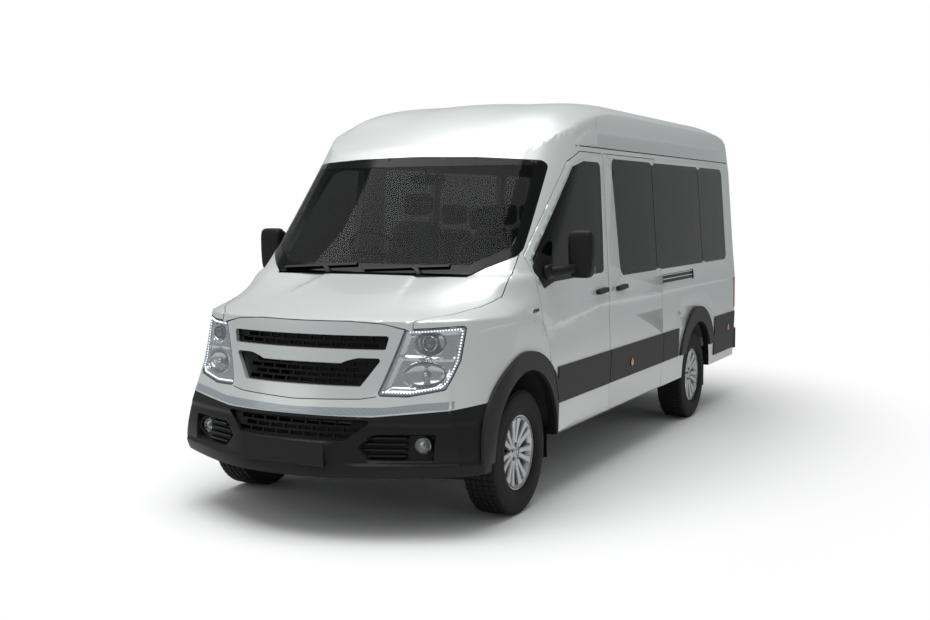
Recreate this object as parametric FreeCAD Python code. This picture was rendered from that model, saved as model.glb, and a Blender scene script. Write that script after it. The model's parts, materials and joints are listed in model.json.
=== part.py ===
import FreeCAD, Part
import math
import os
from collections import namedtuple
from FreeCAD import Vector

# High-roof minibus with wind-up front doors, a sliding side door and rear barn doors.
# Lengthwise stations are measured back from the front axle, heights up from the road.
# The front faces -Y and the vehicle's left side is +X. Every finished piece is moved
# so that the origin lies on the road at half the length and half the width.

# Driving dimensions of the whole vehicle
wheelbase = 3615.0
track = 1758.0
body_width = 2040.0
roof_height = 2550.0
front_overhang = 1000.0
rear_overhang = 1435.0
body_tail = 60.0  # from the sheet metal's rear face to the rear of the bumper

# Walls and gaps
wall = 45.0
bonnet_wall = 24.0
lamp_depth = 110.0
mesh_depth = 30.0
mesh_wall = 12.0
mesh_pitch = 92.0
mesh_bar = 12.0
mesh_cell_high = 20.0
plinth_inset = 6.0
fog_x = 725.0
fog_height = 513.0
fog_radius = 44.0
fog_depth = 60.0
glass = 6.0
pillar_depth = 45.0
pillar_clear = 1.5
opening_corner = 14.0
carrier_depth = 120.0
panel_gap = 5.0
seat_gap = 0.3
bonnet_lip = 5.0  # thin edge of the bonnet that swings past the windscreen
bonnet_lip_width = 40.0
cowl_sunk = 18.0  # the wiper cowl lies below the bonnet's edge
cowl_ledge = 3.0  # strip of the cowl that carries the lower edge of the windscreen
dash_reach = 866.0  # leaves room for the front edge of the opening door
swing_room_x = 904.0

# Wheels
tyre_radius = 365.0
tyre_width = 225.0
rim_radius = 205.0
rim_lip = 15.0
rim_width = 180.0
hub_radius = 62.0
hub_seat = 20.0
hub_face = 80.0
spoke_pairs = 7
spoke_lean = 9.0
front_arch_radius = 449.0
rear_arch_radius = 418.0
arch_height = 402.0
flare_width = 110.0
flare_proud = 20.0

# Body stations and heights
sill_height = 396.0
belt_height = 1140.0
nose_top = 1174.0
cowl_station = -34.0
cowl_height = 1402.0
waist_tuck = 25.5  # behind the doors, at the height of the cowl
screen_slope = 0.797  # run back per unit of height
screen_top = 2119.0
roof_seam = 2190.0
rear_corner = 120.0
strip_bottom = 586.0
strip_top = 812.0
strip_proud = 9.0

# Side openings
door_front = 222.0
door_split = 1419.0
slide_rear = 2630.0
door_top = 2152.0
door_bottom = 402.0
window_bottom = 1311.0
window_top = 2125.0
window_front = 1640.0
window_rear = 4615.0
window_posts = (2560.0, 3850.0)
window_corner = 70.0

# Rear opening
rear_door_half = 860.0
rear_door_bottom = 660.0
rear_door_top = 2110.0

# Cabin
floor_top = 690.0
floor_thickness = 40.0
frame_rail_x = 430.0
frame_bottom = 440.0
rail_bottom = 470.0
rail_top = 620.0
cross_bottom = 500.0
liner_inner = 500.0
first_row = 1750.0
row_pitch = 780.0
rail_width = 70.0
kingpin_x = 800.0

half_width = body_width / 2
body_rear = wheelbase + rear_overhang - body_tail
side_join = door_split + panel_gap / 2
middle_station = (wheelbase + rear_overhang - front_overhang) / 2
wheel_x = track / 2

# One level of the body's plan: how far its front lies behind the nose tip, how its front
# bows back (per metre squared), the reach and sweep of its corner, and how far its sides
# lie inside the full half width.
Level = namedtuple("Level", "height setback bow reach sweep tuck")

nose_levels = [
    Level(345, 0, 0.42, 130, 50, 15),
    Level(430, 15, 0.36, 140, 120, 10),
    Level(560, 55, 0.32, 170, 215, 6),
    Level(700, 103, 0.31, 215, 267, 3),
    Level(strip_top, 150, 0.31, 250, 295, 0),
    Level(950, 182, 0.31, 306, 339, 1),
    Level(1060, 202, 0.30, 345, 370, 1),
    Level(belt_height, 214, 0.29, 380, 400, 2),
    Level(nose_top, 220, 0.29, 380, 420, 4),
]
bonnet_levels = [
    nose_levels[-1],
    Level(1204, 312, 0.32, 372, 425, 6),
    Level(1250, 464, 0.31, 375, 450, 11),
    Level(1295, 615, 0.22, 372, 470, 17),
    Level(1345, 785, 0.09, 355, 465, 22),
    Level(cowl_height, front_overhang + cowl_station, 0.0, 340, 455, 26),
]


def screen_setback(height):
    return front_overhang + cowl_station + (height - cowl_height) * screen_slope


cabin_levels = [
    bonnet_levels[-1],
    Level(1510, screen_setback(1510), 0.06, 330, 410, 33),
    Level(1700, screen_setback(1700), 0.11, 310, 400, 46),
    Level(1900, screen_setback(1900), 0.135, 300, 400, 61),
    Level(2093, screen_setback(2093), 0.147, 300, 400, 77),
    Level(2300, screen_setback(2300), 0.15, 285, 370, 105),
    Level(2620, screen_setback(2620), 0.15, 265, 330, 160),
]

# Behind the front doors the sides are straight, so these levels are enough there
straight_levels = [nose_levels[0], nose_levels[4], nose_levels[7], nose_levels[8],
                   bonnet_levels[-1]._replace(tuck=waist_tuck),
                   cabin_levels[4], cabin_levels[5], cabin_levels[6]]

# The forehead rises to the level roof on a cubic, and the roof's rear edge rounds down
forehead_start = 440.0
forehead_end = 2160.0
forehead_drop = 485.0
roof_level_end = body_rear - 500
tail_stations = [(roof_level_end, 8), (body_rear - 300, 16), (body_rear - 170, 32), (body_rear - 90, 62),
                 (body_rear - 35, 115), (body_rear, 190), (body_rear + 60, 380)]
roof_crown = 0.125
crown_half = 815.0
shoulder_half = 912.0
shoulder_drop = 180.0


def arc_edge(start, middle, end):
    return Part.Arc(start, middle, end).toShape()


def line_edge(start, end):
    return Part.LineSegment(start, end).toShape()


def nose_outline(level, inset, steps=5):
    """Closed plan outline of the body ahead of the door split, at one level."""
    wide = half_width - level.tuck - inset
    front = level.setback - front_overhang + inset
    flat = wide - level.reach
    half = []
    for step in range(steps // 2):
        x = flat * step / (steps // 2)
        half.append((x, front + level.bow * x * x / 1000))
    for step in range(steps + 1):
        turn = math.pi / 2 * step / steps
        x = flat + level.reach * math.sin(turn)
        y = front + level.bow * x * x / 1000 + level.sweep * (1 - math.cos(turn))
        half.append((x, y))
    z = level.height
    points = [Vector(-x, y, z) for x, y in reversed(half[1:])]
    points += [Vector(x, y, z) for x, y in half]
    last = len(points) - 1
    nose = Part.BSplineCurve()
    nose.interpolate(Points=points, Parameters=[i / last for i in range(last + 1)])
    corners = [Vector(wide, half[-1][1], z), Vector(wide, side_join, z), Vector(-wide, side_join, z),
               Vector(-wide, half[-1][1], z)]
    edges = [nose.toShape()] + [line_edge(corners[i], corners[i + 1]) for i in range(3)]
    return Part.Wire(edges)


def tail_outline(level, inset):
    """Closed plan outline of the straight body behind the door split, at one level."""
    wide = half_width - level.tuck - inset
    back = body_rear - inset
    round_in = rear_corner * (1 - math.sqrt(0.5))
    z = level.height

    def corner(side):
        ends = [Vector(side * wide, back - rear_corner, z), Vector(side * (wide - rear_corner), back, z)]
        middle = Vector(side * (wide - round_in), back - round_in, z)
        return arc_edge(ends[0], middle, ends[1]), ends

    left, left_ends = corner(1)
    right, right_ends = corner(-1)
    edges = [left, line_edge(left_ends[1], right_ends[1]), right]
    edges.append(line_edge(right_ends[0], Vector(-wide, side_join, z)))
    edges.append(line_edge(Vector(-wide, side_join, z), Vector(wide, side_join, z)))
    edges.append(line_edge(Vector(wide, side_join, z), left_ends[0]))
    return Part.Wire(Part.__sortEdges__(edges))


def roof_section(station, drop, inset):
    """Cross-section under the crowned roof, wider than the body below its shoulders."""
    top = roof_height - drop
    crown = crown_half - inset
    edge = top - roof_crown * crown_half ** 2 / 1000
    out = shoulder_half - inset
    low = top - shoulder_drop
    skirt = out + 300

    def at(x, z):
        return Vector(x, station, z)

    def shoulder(side):
        curve = Part.BezierCurve()
        curve.setPoles([at(side * crown, edge), at(side * (crown + 68), edge - 14),
                        at(side * (out - 6), low + 85), at(side * out, low)])
        return curve.toBSpline().toShape()

    edges = [arc_edge(at(-crown, edge), at(0, top), at(crown, edge)), shoulder(1)]
    edges.append(line_edge(at(out, low), at(skirt, low - 300)))
    edges.append(line_edge(at(skirt, low - 300), at(skirt, 200)))
    edges.append(line_edge(at(skirt, 200), at(-skirt, 200)))
    edges.append(line_edge(at(-skirt, 200), at(-skirt, low - 300)))
    edges.append(line_edge(at(-skirt, low - 300), at(-out, low)))
    edges.append(shoulder(-1))
    return Part.Wire(Part.__sortEdges__(edges))


def forehead_stations(steps):
    stations = []
    for step in range(steps + 1):
        share = step / steps
        station = forehead_start + (forehead_end - forehead_start) * share
        stations.append((station, forehead_drop * (1 - share) ** 3))
    return stations


def body_block(inset=0.0, drop=0.0, fine=True):
    """The body's outer form, or a plainer and smaller one inside it, as one solid."""
    zones = []
    for levels in (nose_levels, bonnet_levels, cabin_levels):
        if not fine:
            levels = levels[:-1:2] + levels[-1:]
        outlines = [nose_outline(level, inset, 5 if fine else 3) for level in levels]
        zones.append(Part.makeLoft(outlines, True, not fine))
    zones.append(Part.makeLoft([tail_outline(level, inset) for level in straight_levels], True, True))
    block = zones[0].fuse(zones[1:])
    forehead = [roof_section(y, drop_here, inset) for y, drop_here in forehead_stations(7 if fine else 4)]
    level_roof = [roof_section(forehead_end, 0, inset)]
    level_roof += [roof_section(y, drop_here, inset) for y, drop_here in tail_stations]
    for sections, start, end, ruled in ((forehead, forehead_start, forehead_end, not fine),
                                        (level_roof, forehead_end, body_rear + 60, True)):
        under = Part.makeLoft(sections, True, ruled)
        sky = box(-1500, 1500, start, end, 1900, roof_height + 300).cut(under)
        block = block.cut(sky)
    block.translate(Vector(0, 0, -drop))
    return block


def box(x0, x1, y0, y1, z0, z1):
    return Part.makeBox(x1 - x0, y1 - y0, z1 - z0, Vector(x0, y0, z0))


def place(axis, level, u, v):
    """A point from two coordinates in the plane across one axis."""
    if axis == "x":
        return Vector(level, u, v)
    if axis == "y":
        return Vector(u, level, v)
    return Vector(u, v, level)


def ring(points, axis, level, radius):
    """Closed outline through corner points, its corners rounded."""
    count = len(points)
    starts = []
    ends = []
    middles = []
    for i in range(count):
        here = place(axis, level, *points[i])
        before = place(axis, level, *points[i - 1])
        after = place(axis, level, *points[(i + 1) % count])
        to_before = before.sub(here)
        to_after = after.sub(here)
        angle = to_before.getAngle(to_after)
        reach = radius / math.tan(angle / 2) if angle < math.pi - 0.02 else 0.0
        reach = min(reach, 0.49 * to_before.Length, 0.49 * to_after.Length)
        to_before.normalize()
        to_after.normalize()
        starts.append(here.add(to_before.multiply(reach)))
        ends.append(here.add(to_after.multiply(reach)))
        chord_middle = starts[i].add(ends[i]).multiply(0.5)
        inward = chord_middle.sub(here)
        if reach > 0.5:
            r = reach * math.tan(angle / 2)
            centre_distance = r / math.sin(angle / 2)
            inward.normalize()
            middles.append(here.add(inward.multiply(centre_distance - r)))
        else:
            middles.append(None)
    edges = []
    for i in range(count):
        if middles[i] is not None:
            edges.append(arc_edge(starts[i], middles[i], ends[i]))
        following = (i + 1) % count
        first = ends[i] if middles[i] is not None else place(axis, level, *points[i])
        second = starts[following]
        if middles[following] is None:
            second = place(axis, level, *points[following])
        if first.sub(second).Length > 0.01:
            edges.append(line_edge(first, second))
    return Part.Wire(edges)


def prism(points, axis, low, high, radius=0.0):
    """Solid swept straight along one axis from a rounded outline."""
    face = Part.Face(ring(points, axis, low, radius))
    return face.extrude(place(axis, high - low, 0, 0) if axis != "y" else Vector(0, high - low, 0))


def cylinder_x(radius, x0, x1, station, height):
    return Part.makeCylinder(radius, x1 - x0, Vector(x0, station, height), Vector(1, 0, 0))


def moved(shape, x=0.0, y=0.0, z=0.0):
    copy = shape.copy()
    copy.translate(Vector(x, y, z))
    return copy


def mirrored(shape):
    return shape.mirror(Vector(0, 0, 0), Vector(1, 0, 0))


def both_sides(shape):
    return Part.makeCompound([shape, mirrored(shape)])


def fused(shapes):
    whole = shapes[0].fuse(shapes[1:])
    return whole.removeSplitter()


def save(node, shape):
    """Write one piece, moved so that its origin is the vehicle's middle on the road."""
    placed = shape.copy()
    placed.translate(Vector(0, -middle_station, 0))
    solids = placed.Solids
    if not solids:
        raise ValueError(node + " has no solid")
    kept = [solid for solid in solids if solid.Volume > 500]
    result = kept[0] if len(kept) == 1 else Part.makeCompound(kept)
    result.exportStep("parts/" + node + ".step")
    print(node, len(kept), "solids", round(result.Volume / 1e6, 2), "litres")


def door_outline(grow=0.0):
    """Side view of the front door, its edge moved out by grow."""
    g = grow
    return [
        (door_split + g, door_bottom - g), (door_split + g, 1194), (1470 + g, door_top + g),
        (1050 - g, door_top + g), (870 - g, 2080 + g), (226 - g, 1500 + g),
        (door_front - g, 1400), (door_front - g, 1240), (285 - g, 1059), (352 - g, 932),
        (385 - g, 800), (474 - g, 586), (474 - g, door_bottom - g),
    ]


def front_window_outline(shrink=0.0):
    s = shrink
    return [
        (1353 - s, window_bottom + 40 + s), (1405 - s, 2092 - s), (1100 + s * 0.5, 2092 - s),
        (915 + s, 2052 - s), (265 + s, 1480), (258 + s, 1352 + s), (330, 1337 + s),
    ]


def slide_outline(grow=0.0):
    g = grow
    return [
        (door_split + 2 * panel_gap - g, door_bottom - g), (slide_rear + g, door_bottom - g),
        (slide_rear + g, door_top + g), (1478 + 2 * panel_gap - g, door_top + g),
        (door_split + 2 * panel_gap - g, 1194),
    ]


def pane_outlines(shrink=0.0):
    """Side windows behind the front doors, front to back."""
    s = shrink
    edges = [window_front] + list(window_posts) + [window_rear]
    panes = []
    for i in range(3):
        a = edges[i] + (0 if i == 0 else 3) + s
        b = edges[i + 1] - (0 if i == 2 else 3) - s
        lean = 50 if i == 0 else 0
        panes.append([(a + lean, window_bottom + s), (b, window_bottom + s), (b, window_top - s),
                      (a - 12 * (i == 0), window_top - s)])
    return panes


def windscreen_outline(shrink=0.0):
    s = shrink
    half = [(0, screen_top - s), (430, screen_top - 8 - s), (856 - s, screen_top - 33 - s),
            (890 - s, 1515 + s * 0.5), (660, cowl_height - 6 + s), (0, cowl_height + s)]
    left = [(-x, z) for x, z in reversed(half[1:-1])]
    return half + left


def bonnet_plan(grow=0.0):
    g = grow
    side = [(600 + g, -900), (640 + g, -643), (760 + g, -490), (850 + g, -270), (897 + g, -88),
            (884 + g, 73), (868 + g, 330)]
    return side + [(-x, y) for x, y in reversed(side)]


def bonnet_front(drop=0.0):
    """Front view of the region above the bonnet's leading edge and under the windscreen."""
    d = drop
    under = 14
    side = [(300, nose_top + 2 - d), (480, nose_top - 10 - d), (600, nose_top - 38 - d),
            (700, 1090 - d), (1000, 1000 - d), (1000, 1530), (893, 1530),
            (668, cowl_height - under - 3)]
    middle_low = [(0, nose_top - d)]
    middle_top = [(0, cowl_height - under)]
    return middle_low + side + middle_top + [(-x, z) for x, z in reversed(side)]


def lamp_outline(grow=0.0):
    g = grow
    return [(600 - g, 1134 + g), (872 + g, 1147 + g), (862 + g, 960), (822 + g, 812 - g),
            (640, 775 - g), (478 - g, 778 - g)]


def grille_outline(grow=0.0):
    g = grow
    side = [(598 + g, 1128), (572 + g, 1000), (478 + g, 800), (412, 762 - g)]
    top = [(300, nose_top - 2 + g), (480, nose_top - 14 + g)]
    return [(0, nose_top - 4 + g)] + top + side + [(0, 745 - g)] + \
        [(-x, z) for x, z in reversed(top + side)]


def opening_upper(shrink=0.0):
    s = shrink
    side = [(517 - s, 1097 - s), (500 - s, 1021 + s)]
    return side + [(-x, z) for x, z in reversed(side)]


def opening_lower(shrink=0.0):
    s = shrink
    side = [(487 - s, 976 - s), (381 - s, 822 + s)]
    return side + [(-x, z) for x, z in reversed(side)]


def bumper_region():
    """Front view of the black bumper: everything under its upper edge."""
    side = [(475, 668), (705, 690), (874, 706), (960, 722), (1100, 745)]
    return [(1100, 300)] + list(reversed(side)) + [(-x, z) for x, z in side] + [(-1100, 300)]


os.makedirs("parts", exist_ok=True)

far_ahead = -front_overhang - 200
far_out = half_width + 200
far_back = body_rear + 200
sky_height = roof_height + 100
left_half = box(0, far_out, far_ahead, far_back, 0, sky_height)

outer = body_block()
inner = body_block(wall, wall, fine=False)
shell = outer.cut(inner).cut(box(-1100, 1100, -200, far_back, 0, sill_height))
arches = cylinder_x(front_arch_radius, -far_out, far_out, 0, arch_height)
arches = arches.fuse([cylinder_x(rear_arch_radius, -far_out, far_out, wheelbase, arch_height)])
shell = shell.cut(arches)


def side_region(outline, radius=0.0):
    return prism(outline, "x", 600, far_out, radius)


def largest(shape):
    return max(shape.Solids, key=lambda solid: solid.Volume)


# Windscreen, set flush in its opening, and the two wipers that lie on it
screen_zone = prism(windscreen_outline(), "y", far_ahead, 1050, 60)
screen_gap = prism(windscreen_outline(-panel_gap), "y", far_ahead, 1050, 60)
door_gap = side_region(door_outline(panel_gap), 30)
save("windscreen", screen_zone.common(outer).cut(moved(outer, 0, glass * 0.78, -glass * 0.62)))
shell = shell.cut(screen_zone)
wiper_proud = 14.0
over_glass = moved(outer, 0, -wiper_proud * 0.62, wiper_proud * 0.78)
on_glass = moved(outer, 0, -0.2, seat_gap)
wipers = []
for tip, heel in ((-640, -120), (-60, 520)):
    blade = [(tip, 1417), (heel, 1444), (heel, 1456), (tip, 1429)]
    pivot = heel - 170
    arm = [(pivot - 14, 1399), (pivot + 14, 1399), (pivot - 60, 1448), (pivot - 90, 1444)]
    zone = fused([prism(blade, "y", -300, 300), prism(arm, "y", -300, 300)])
    wipers.append(zone.common(over_glass).cut(on_glass))

# Roof panel with the forehead above the windscreen
roof_zone = box(-far_out, far_out, 0, far_back, roof_seam, sky_height)
header = [(-850, 2097), (-430, screen_top - 2), (0, screen_top + 6), (430, screen_top - 2), (850, 2097),
          (850, roof_seam + 1), (-850, roof_seam + 1)]
roof_zone = roof_zone.fuse([prism(header, "y", 0, 1050)])
save("roof_panel", shell.common(roof_zone))
shell = shell.cut(roof_zone)

# Bonnet, with its rear corners beside the windscreen
bonnet_zone = prism(bonnet_front(), "y", far_ahead, 340).common(prism(bonnet_plan(), "z", 900, 1600))
under_bonnet = moved(outer, 0, bonnet_wall, -bonnet_wall)
bonnet = bonnet_zone.common(outer).cut(under_bonnet).cut(screen_gap)
beside_screen = prism(windscreen_outline(-panel_gap - bonnet_lip_width), "y", far_ahead, 1050, 60)
bonnet = bonnet.cut(beside_screen.common(moved(outer, 0, bonnet_lip, -bonnet_lip)))
save("bonnet", bonnet.cut(door_gap).cut(mirrored(door_gap)))
bonnet_gap = prism(bonnet_front(panel_gap), "y", far_ahead, 340)
bonnet_gap = bonnet_gap.common(prism(bonnet_plan(panel_gap), "z", 900, 1700))
shell = shell.cut(bonnet_gap)

# Black strip of the wiper cowl under the windscreen
cowl_zone = box(-660, 660, -200, 200, 1340, cowl_height + 8)
cowl_low = box(-660, 660, -200, 200, 1340, cowl_height - cowl_ledge)
cowl = shell.common(cowl_zone).cut(cowl_low.cut(moved(outer, 0, cowl_sunk, -cowl_sunk)))
save("wiper_cowl", Part.makeCompound([cowl] + wipers))
shell = shell.cut(cowl_zone)

# Black front bumper with its lower intake, fog lamps and the bare plinth for a plate
bumper_zone = prism(bumper_region(), "y", far_ahead, -300)
bumper = shell.common(bumper_zone)
shell = shell.cut(bumper_zone)
intake = [(-484, 650), (-344, 540), (344, 540), (484, 650)]
bumper = bumper.cut(prism(intake, "y", far_ahead, -700, 12))
plinth = box(-263, 263, plinth_inset - front_overhang, 70 - front_overhang, 406, 532).cut(inner)
fog_pocket = Part.makeCylinder(fog_radius + seat_gap, 250, Vector(fog_x, far_ahead, fog_height), Vector(0, 1, 0))
fog_solid = Part.makeCylinder(fog_radius, 250, Vector(fog_x, far_ahead, fog_height), Vector(0, 1, 0))
fog_back = moved(outer, 0, fog_depth)
fog_lamp = fog_solid.fuse([moved(fog_solid, 0, 230)]).common(moved(outer, 0, 8))
fog_lamp = fog_lamp.cut(moved(outer, 0, fog_depth - seat_gap))
pocket = fog_pocket.fuse([moved(fog_pocket, 0, 230)]).cut(fog_back)
bumper = bumper.cut(pocket).cut(mirrored(pocket))
save("front_bumper", bumper.fuse([plinth]))

# Headlamps with the fog lamps, the grille's frame and its mesh
lamp_zone = prism(lamp_outline(), "y", far_ahead, -250, 20)
lamp = lamp_zone.common(outer).cut(moved(outer, 0, lamp_depth)).cut(bonnet_gap)
save("front_lamps", both_sides(Part.makeCompound([largest(lamp), largest(fog_lamp)])))
lamp_gap = prism(lamp_outline(3), "y", far_ahead, -250, 20)
lamp_gap = lamp_gap.fuse([mirrored(lamp_gap)])
shell = shell.cut(lamp_gap)
grille_zone = prism(grille_outline(), "y", far_ahead, -500, 14)
openings = [prism(outline, "y", far_ahead, -500, opening_corner) for outline in (opening_upper(), opening_lower())]
frame = shell.common(grille_zone)
for opening in openings:
    frame = frame.cut(opening)
save("grille_frame", frame)
shell = shell.cut(prism(grille_outline(seat_gap), "y", far_ahead, -500, 14))


def mesh_cells(half, low, high):
    """Openings of the mesh in brick bond, over one intake."""
    cells = []
    row = 0
    z = low + mesh_bar
    while z + mesh_cell_high < high:
        shift = mesh_pitch / 2 * (row % 2)
        count = int(2 * half / mesh_pitch)
        for i in range(count):
            x = (i - count / 2) * mesh_pitch + shift
            cells.append(box(x, x + mesh_pitch - mesh_bar, far_ahead, -500, z, z + mesh_cell_high))
        z += mesh_cell_high + mesh_bar
        row += 1
    return Part.makeCompound(cells)


mesh_back = moved(outer, 0, mesh_depth + mesh_wall)
mesh_front = moved(outer, 0, mesh_depth)
intake_mesh = [(-483, 650 - seat_gap), (-344, 540 + seat_gap), (344, 540 + seat_gap), (483, 650 - seat_gap)]
meshes = []
for outline, half, low, high in ((opening_upper(seat_gap), 480, 1021, 1097),
                                 (opening_lower(seat_gap), 400, 822, 976), (intake_mesh, 390, 540, 650)):
    sheet = prism(outline, "y", far_ahead, -600, opening_corner + seat_gap).common(mesh_front).cut(mesh_back)
    meshes.append(largest(sheet).cut(mesh_cells(half, low, high)))
save("grille_mesh", Part.makeCompound(meshes))

# Carrier behind the lamps, with the bonnet's rest, on two legs that stand on the frame rails
behind_lamps = moved(outer, 0, lamp_depth + seat_gap)
carrier = prism([(-840, 1015), (840, 1015), (840, 1128), (-840, 1128)], "y", far_ahead, -300)
carrier = carrier.common(behind_lamps).cut(moved(outer, 0, lamp_depth + carrier_depth))
carrier = carrier.common(moved(inner, 0, seat_gap, -seat_gap))
rest_post = box(-60, 60, -580, -545, 1040, 1300).common(moved(under_bonnet, 0, seat_gap, -seat_gap))
leg = box(frame_rail_x - rail_width / 2, frame_rail_x + rail_width / 2, -640, -570, rail_top + seat_gap, 1040)
save("front_carrier", fused([carrier, rest_post, leg, mirrored(leg)]))

# From here on the left half of the shell is enough, and the right one mirrors it
half_shell = shell.common(left_half)
half_outer = outer.common(left_half)
half_inner = inner.common(box(-10, far_out, far_ahead, far_back, 0, sky_height))
tight_half = moved(half_inner, -seat_gap)


def fitted(shape):
    """Trim a piece to the inside of the body, just clear of the walls on both sides."""
    half = shape.common(left_half).common(tight_half)
    return fused([half, mirrored(half)])


# Front wings round the lamps, and the body-colour panel between the bumper and the lamps
wing_zone = prism([(-900, 1126), (-520, 1126), (-520, 800), (-292, 770), (-292, sill_height - 5),
                   (600, sill_height - 5), (600, 1342), (250, 1342), (73, 1391), (-900, 1391)], "x", 480, far_out)
wing = largest(half_shell.common(wing_zone).cut(door_gap))
save("wings", both_sides(wing))
half_shell = half_shell.cut(wing_zone).cut(door_gap)
panel_zone = box(-10, far_out, far_ahead, -290, 600, 1250)
panel = half_shell.common(panel_zone)
half_shell = half_shell.cut(panel_zone)
save("front_panel", panel.fuse([mirrored(panel)]))

# Front doors with their glass set in from outside
door = side_region(door_outline(), 30).common(half_outer).cut(half_inner).cut(arches)
door = door.cut(side_region(front_window_outline(25), 40))
pane_back = moved(half_outer, -glass)
pocket_back = moved(half_outer, -glass - seat_gap)
door_glass = largest(side_region(front_window_outline(), 40).common(half_outer).cut(pane_back))
door = largest(door.cut(side_region(front_window_outline(-seat_gap), 40).cut(pocket_back)))
save("front_door_left", door)
save("front_door_right", mirrored(door))
save("door_glass_left", door_glass)
save("door_glass_right", mirrored(door_glass))

# Sliding side door on the left, fixed side on the right, and the side windows
slide_zone = side_region(slide_outline(), 20)
slide = slide_zone.common(half_outer).cut(half_inner)
panes = []
for outline in pane_outlines():
    panes.append(side_region(outline, window_corner).common(half_outer).cut(pane_back))
save("side_glass", both_sides(Part.makeCompound(panes)))
half_shell = largest(half_shell)
for outline, hole in zip(pane_outlines(-seat_gap), pane_outlines(45)):
    for cutter in (side_region(outline, window_corner).cut(pocket_back), side_region(hole, window_corner)):
        slide = slide.cut(cutter)
        half_shell = largest(half_shell.cut(cutter))
save("sliding_door", largest(slide))

# Rear barn doors with their glass, hinged at their outer edges
gate = [(panel_gap / 2, rear_door_bottom), (rear_door_half, rear_door_bottom),
        (rear_door_half - 12, rear_door_top), (panel_gap / 2, rear_door_top)]
gate_pane = [(110, 1330), (rear_door_half - 110, 1330), (rear_door_half - 130, 2010), (110, 2010)]
gate_light = [(135, 1355), (rear_door_half - 135, 1355), (rear_door_half - 155, 1985), (135, 1985)]
rear_low = body_rear - 200
rear_door = prism(gate, "y", rear_low, far_back, 14).common(half_outer).cut(half_inner)
pane_zone = prism(gate_pane, "y", body_rear - glass, body_rear, 60)
rear_door = rear_door.cut(prism(gate_pane, "y", body_rear - glass - seat_gap, far_back, 60))
rear_door = rear_door.cut(prism(gate_light, "y", rear_low, far_back, 50))
save("rear_door_left", rear_door)
save("rear_door_right", mirrored(rear_door))
save("rear_glass_left", pane_zone)
save("rear_glass_right", mirrored(pane_zone))
handle = box(30, 80, body_rear, body_rear + 38, 1020, 1190)
plate_rest = box(180, 705, body_rear, body_rear + 8, 880, 995)
save("rear_door_trim", Part.makeCompound([handle, plate_rest]))
opening_half = rear_door_half + panel_gap
rear_opening = prism([(-200, rear_door_bottom - panel_gap), (opening_half, rear_door_bottom - panel_gap),
                      (opening_half - 12, rear_door_top + panel_gap), (-200, rear_door_top + panel_gap)],
                     "y", rear_low, far_back, 16)
half_shell = half_shell.cut(rear_opening)

# The frame round the rear doors, with the bars that the doors close against
frame_zone = box(-10, opening_half + 30, body_rear - wall - 120, far_back, 0, roof_seam)
rear_frame = half_shell.common(frame_zone)
half_shell = half_shell.cut(frame_zone)
bar_back = body_rear - wall - seat_gap
bar_front = body_rear - wall - 35
bar_half = rear_door_half - 90
bars = []
for low, high, joint_low, joint_high in (
        (rear_door_bottom - 35, rear_door_bottom + 30, rear_door_bottom - 35, rear_door_bottom - 6),
        (rear_door_top - 30, rear_door_top + 35, rear_door_top + 6, rear_door_top + 35)):
    bars.append(box(-bar_half, bar_half, bar_front, bar_back, low, high))
    bars.append(box(-bar_half, bar_half, bar_front, body_rear - wall + 1, joint_low, joint_high))
save("rear_frame", fused([rear_frame, mirrored(rear_frame)] + bars))

# Tail lamps in the rear corners
tail_zone = box(opening_half + 30, far_out, body_rear - 150, far_back, 850, 1130)
tail_lamp = largest(tail_zone.common(moved(half_outer, 2, 3)).cut(half_inner))
save("tail_lamps", both_sides(tail_lamp))
half_shell = half_shell.cut(tail_zone)

# The body sides and the pillars behind the front doors
save("body_side_right", mirrored(largest(half_shell)))
save("body_side_left", largest(half_shell.cut(side_region(slide_outline(panel_gap), 20))))
pillar_face = half_width - wall - pillar_clear
wall_line = [(pillar_face - nose_levels[3].tuck, floor_top + seat_gap)]
wall_line += [(pillar_face - level.tuck, level.height - wall)
              for level in nose_levels[4:9:3] + nose_levels[8:] + bonnet_levels[4:] + cabin_levels[4:5]]
wall_line.append((wall_line[-1][0] - 20, roof_seam - 3))
pillar = prism(wall_line + [(x - pillar_depth, z) for x, z in reversed(wall_line)], "y", 1350, 1600)
pillar = pillar.common(side_region([(door_split - 35, 500), (door_split + 45, 500), (door_split + 45, 1194),
                                    (1530, roof_seam), (1440, roof_seam), (door_split - 35, 1194)]))
save("door_pillars", both_sides(pillar))

# Wheel-arch flares and side cladding stand proud of the sides
swollen = moved(half_outer, flare_proud)
front_ring = cylinder_x(front_arch_radius + flare_width, 700, far_out, 0, arch_height)
front_ring = front_ring.common(box(700, far_out, -600, 466, sill_height, 1100))
front_ring = front_ring.cut(cylinder_x(front_arch_radius, 600, far_out, 0, arch_height))
rear_ring = cylinder_x(rear_arch_radius + flare_width + 20, 700, far_out, wheelbase, arch_height)
rear_ring = rear_ring.common(box(700, far_out, wheelbase - 600, wheelbase + 550, strip_bottom, 1100))
rear_ring = rear_ring.cut(cylinder_x(rear_arch_radius, 600, far_out, wheelbase, arch_height))
front_flare = front_ring.common(swollen).cut(half_outer)
door_flare = front_flare.common(side_region(door_outline(), 30))
front_flare = front_flare.cut(side_region(door_outline(2 * panel_gap), 30))
rear_flare = rear_ring.common(swollen).cut(half_outer)
proud = moved(half_outer, strip_proud)
handle_proud = moved(half_outer, 30)


def strip_between(start, end, bottom=strip_bottom):
    return box(900, far_out, start, end, bottom, strip_top).common(proud).cut(half_outer)


def door_handle(start, end):
    outline = [(start, 1212), (end, 1222), (end, 1252), (start, 1242)]
    return side_region(outline, 8).common(handle_proud).cut(half_outer)


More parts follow.
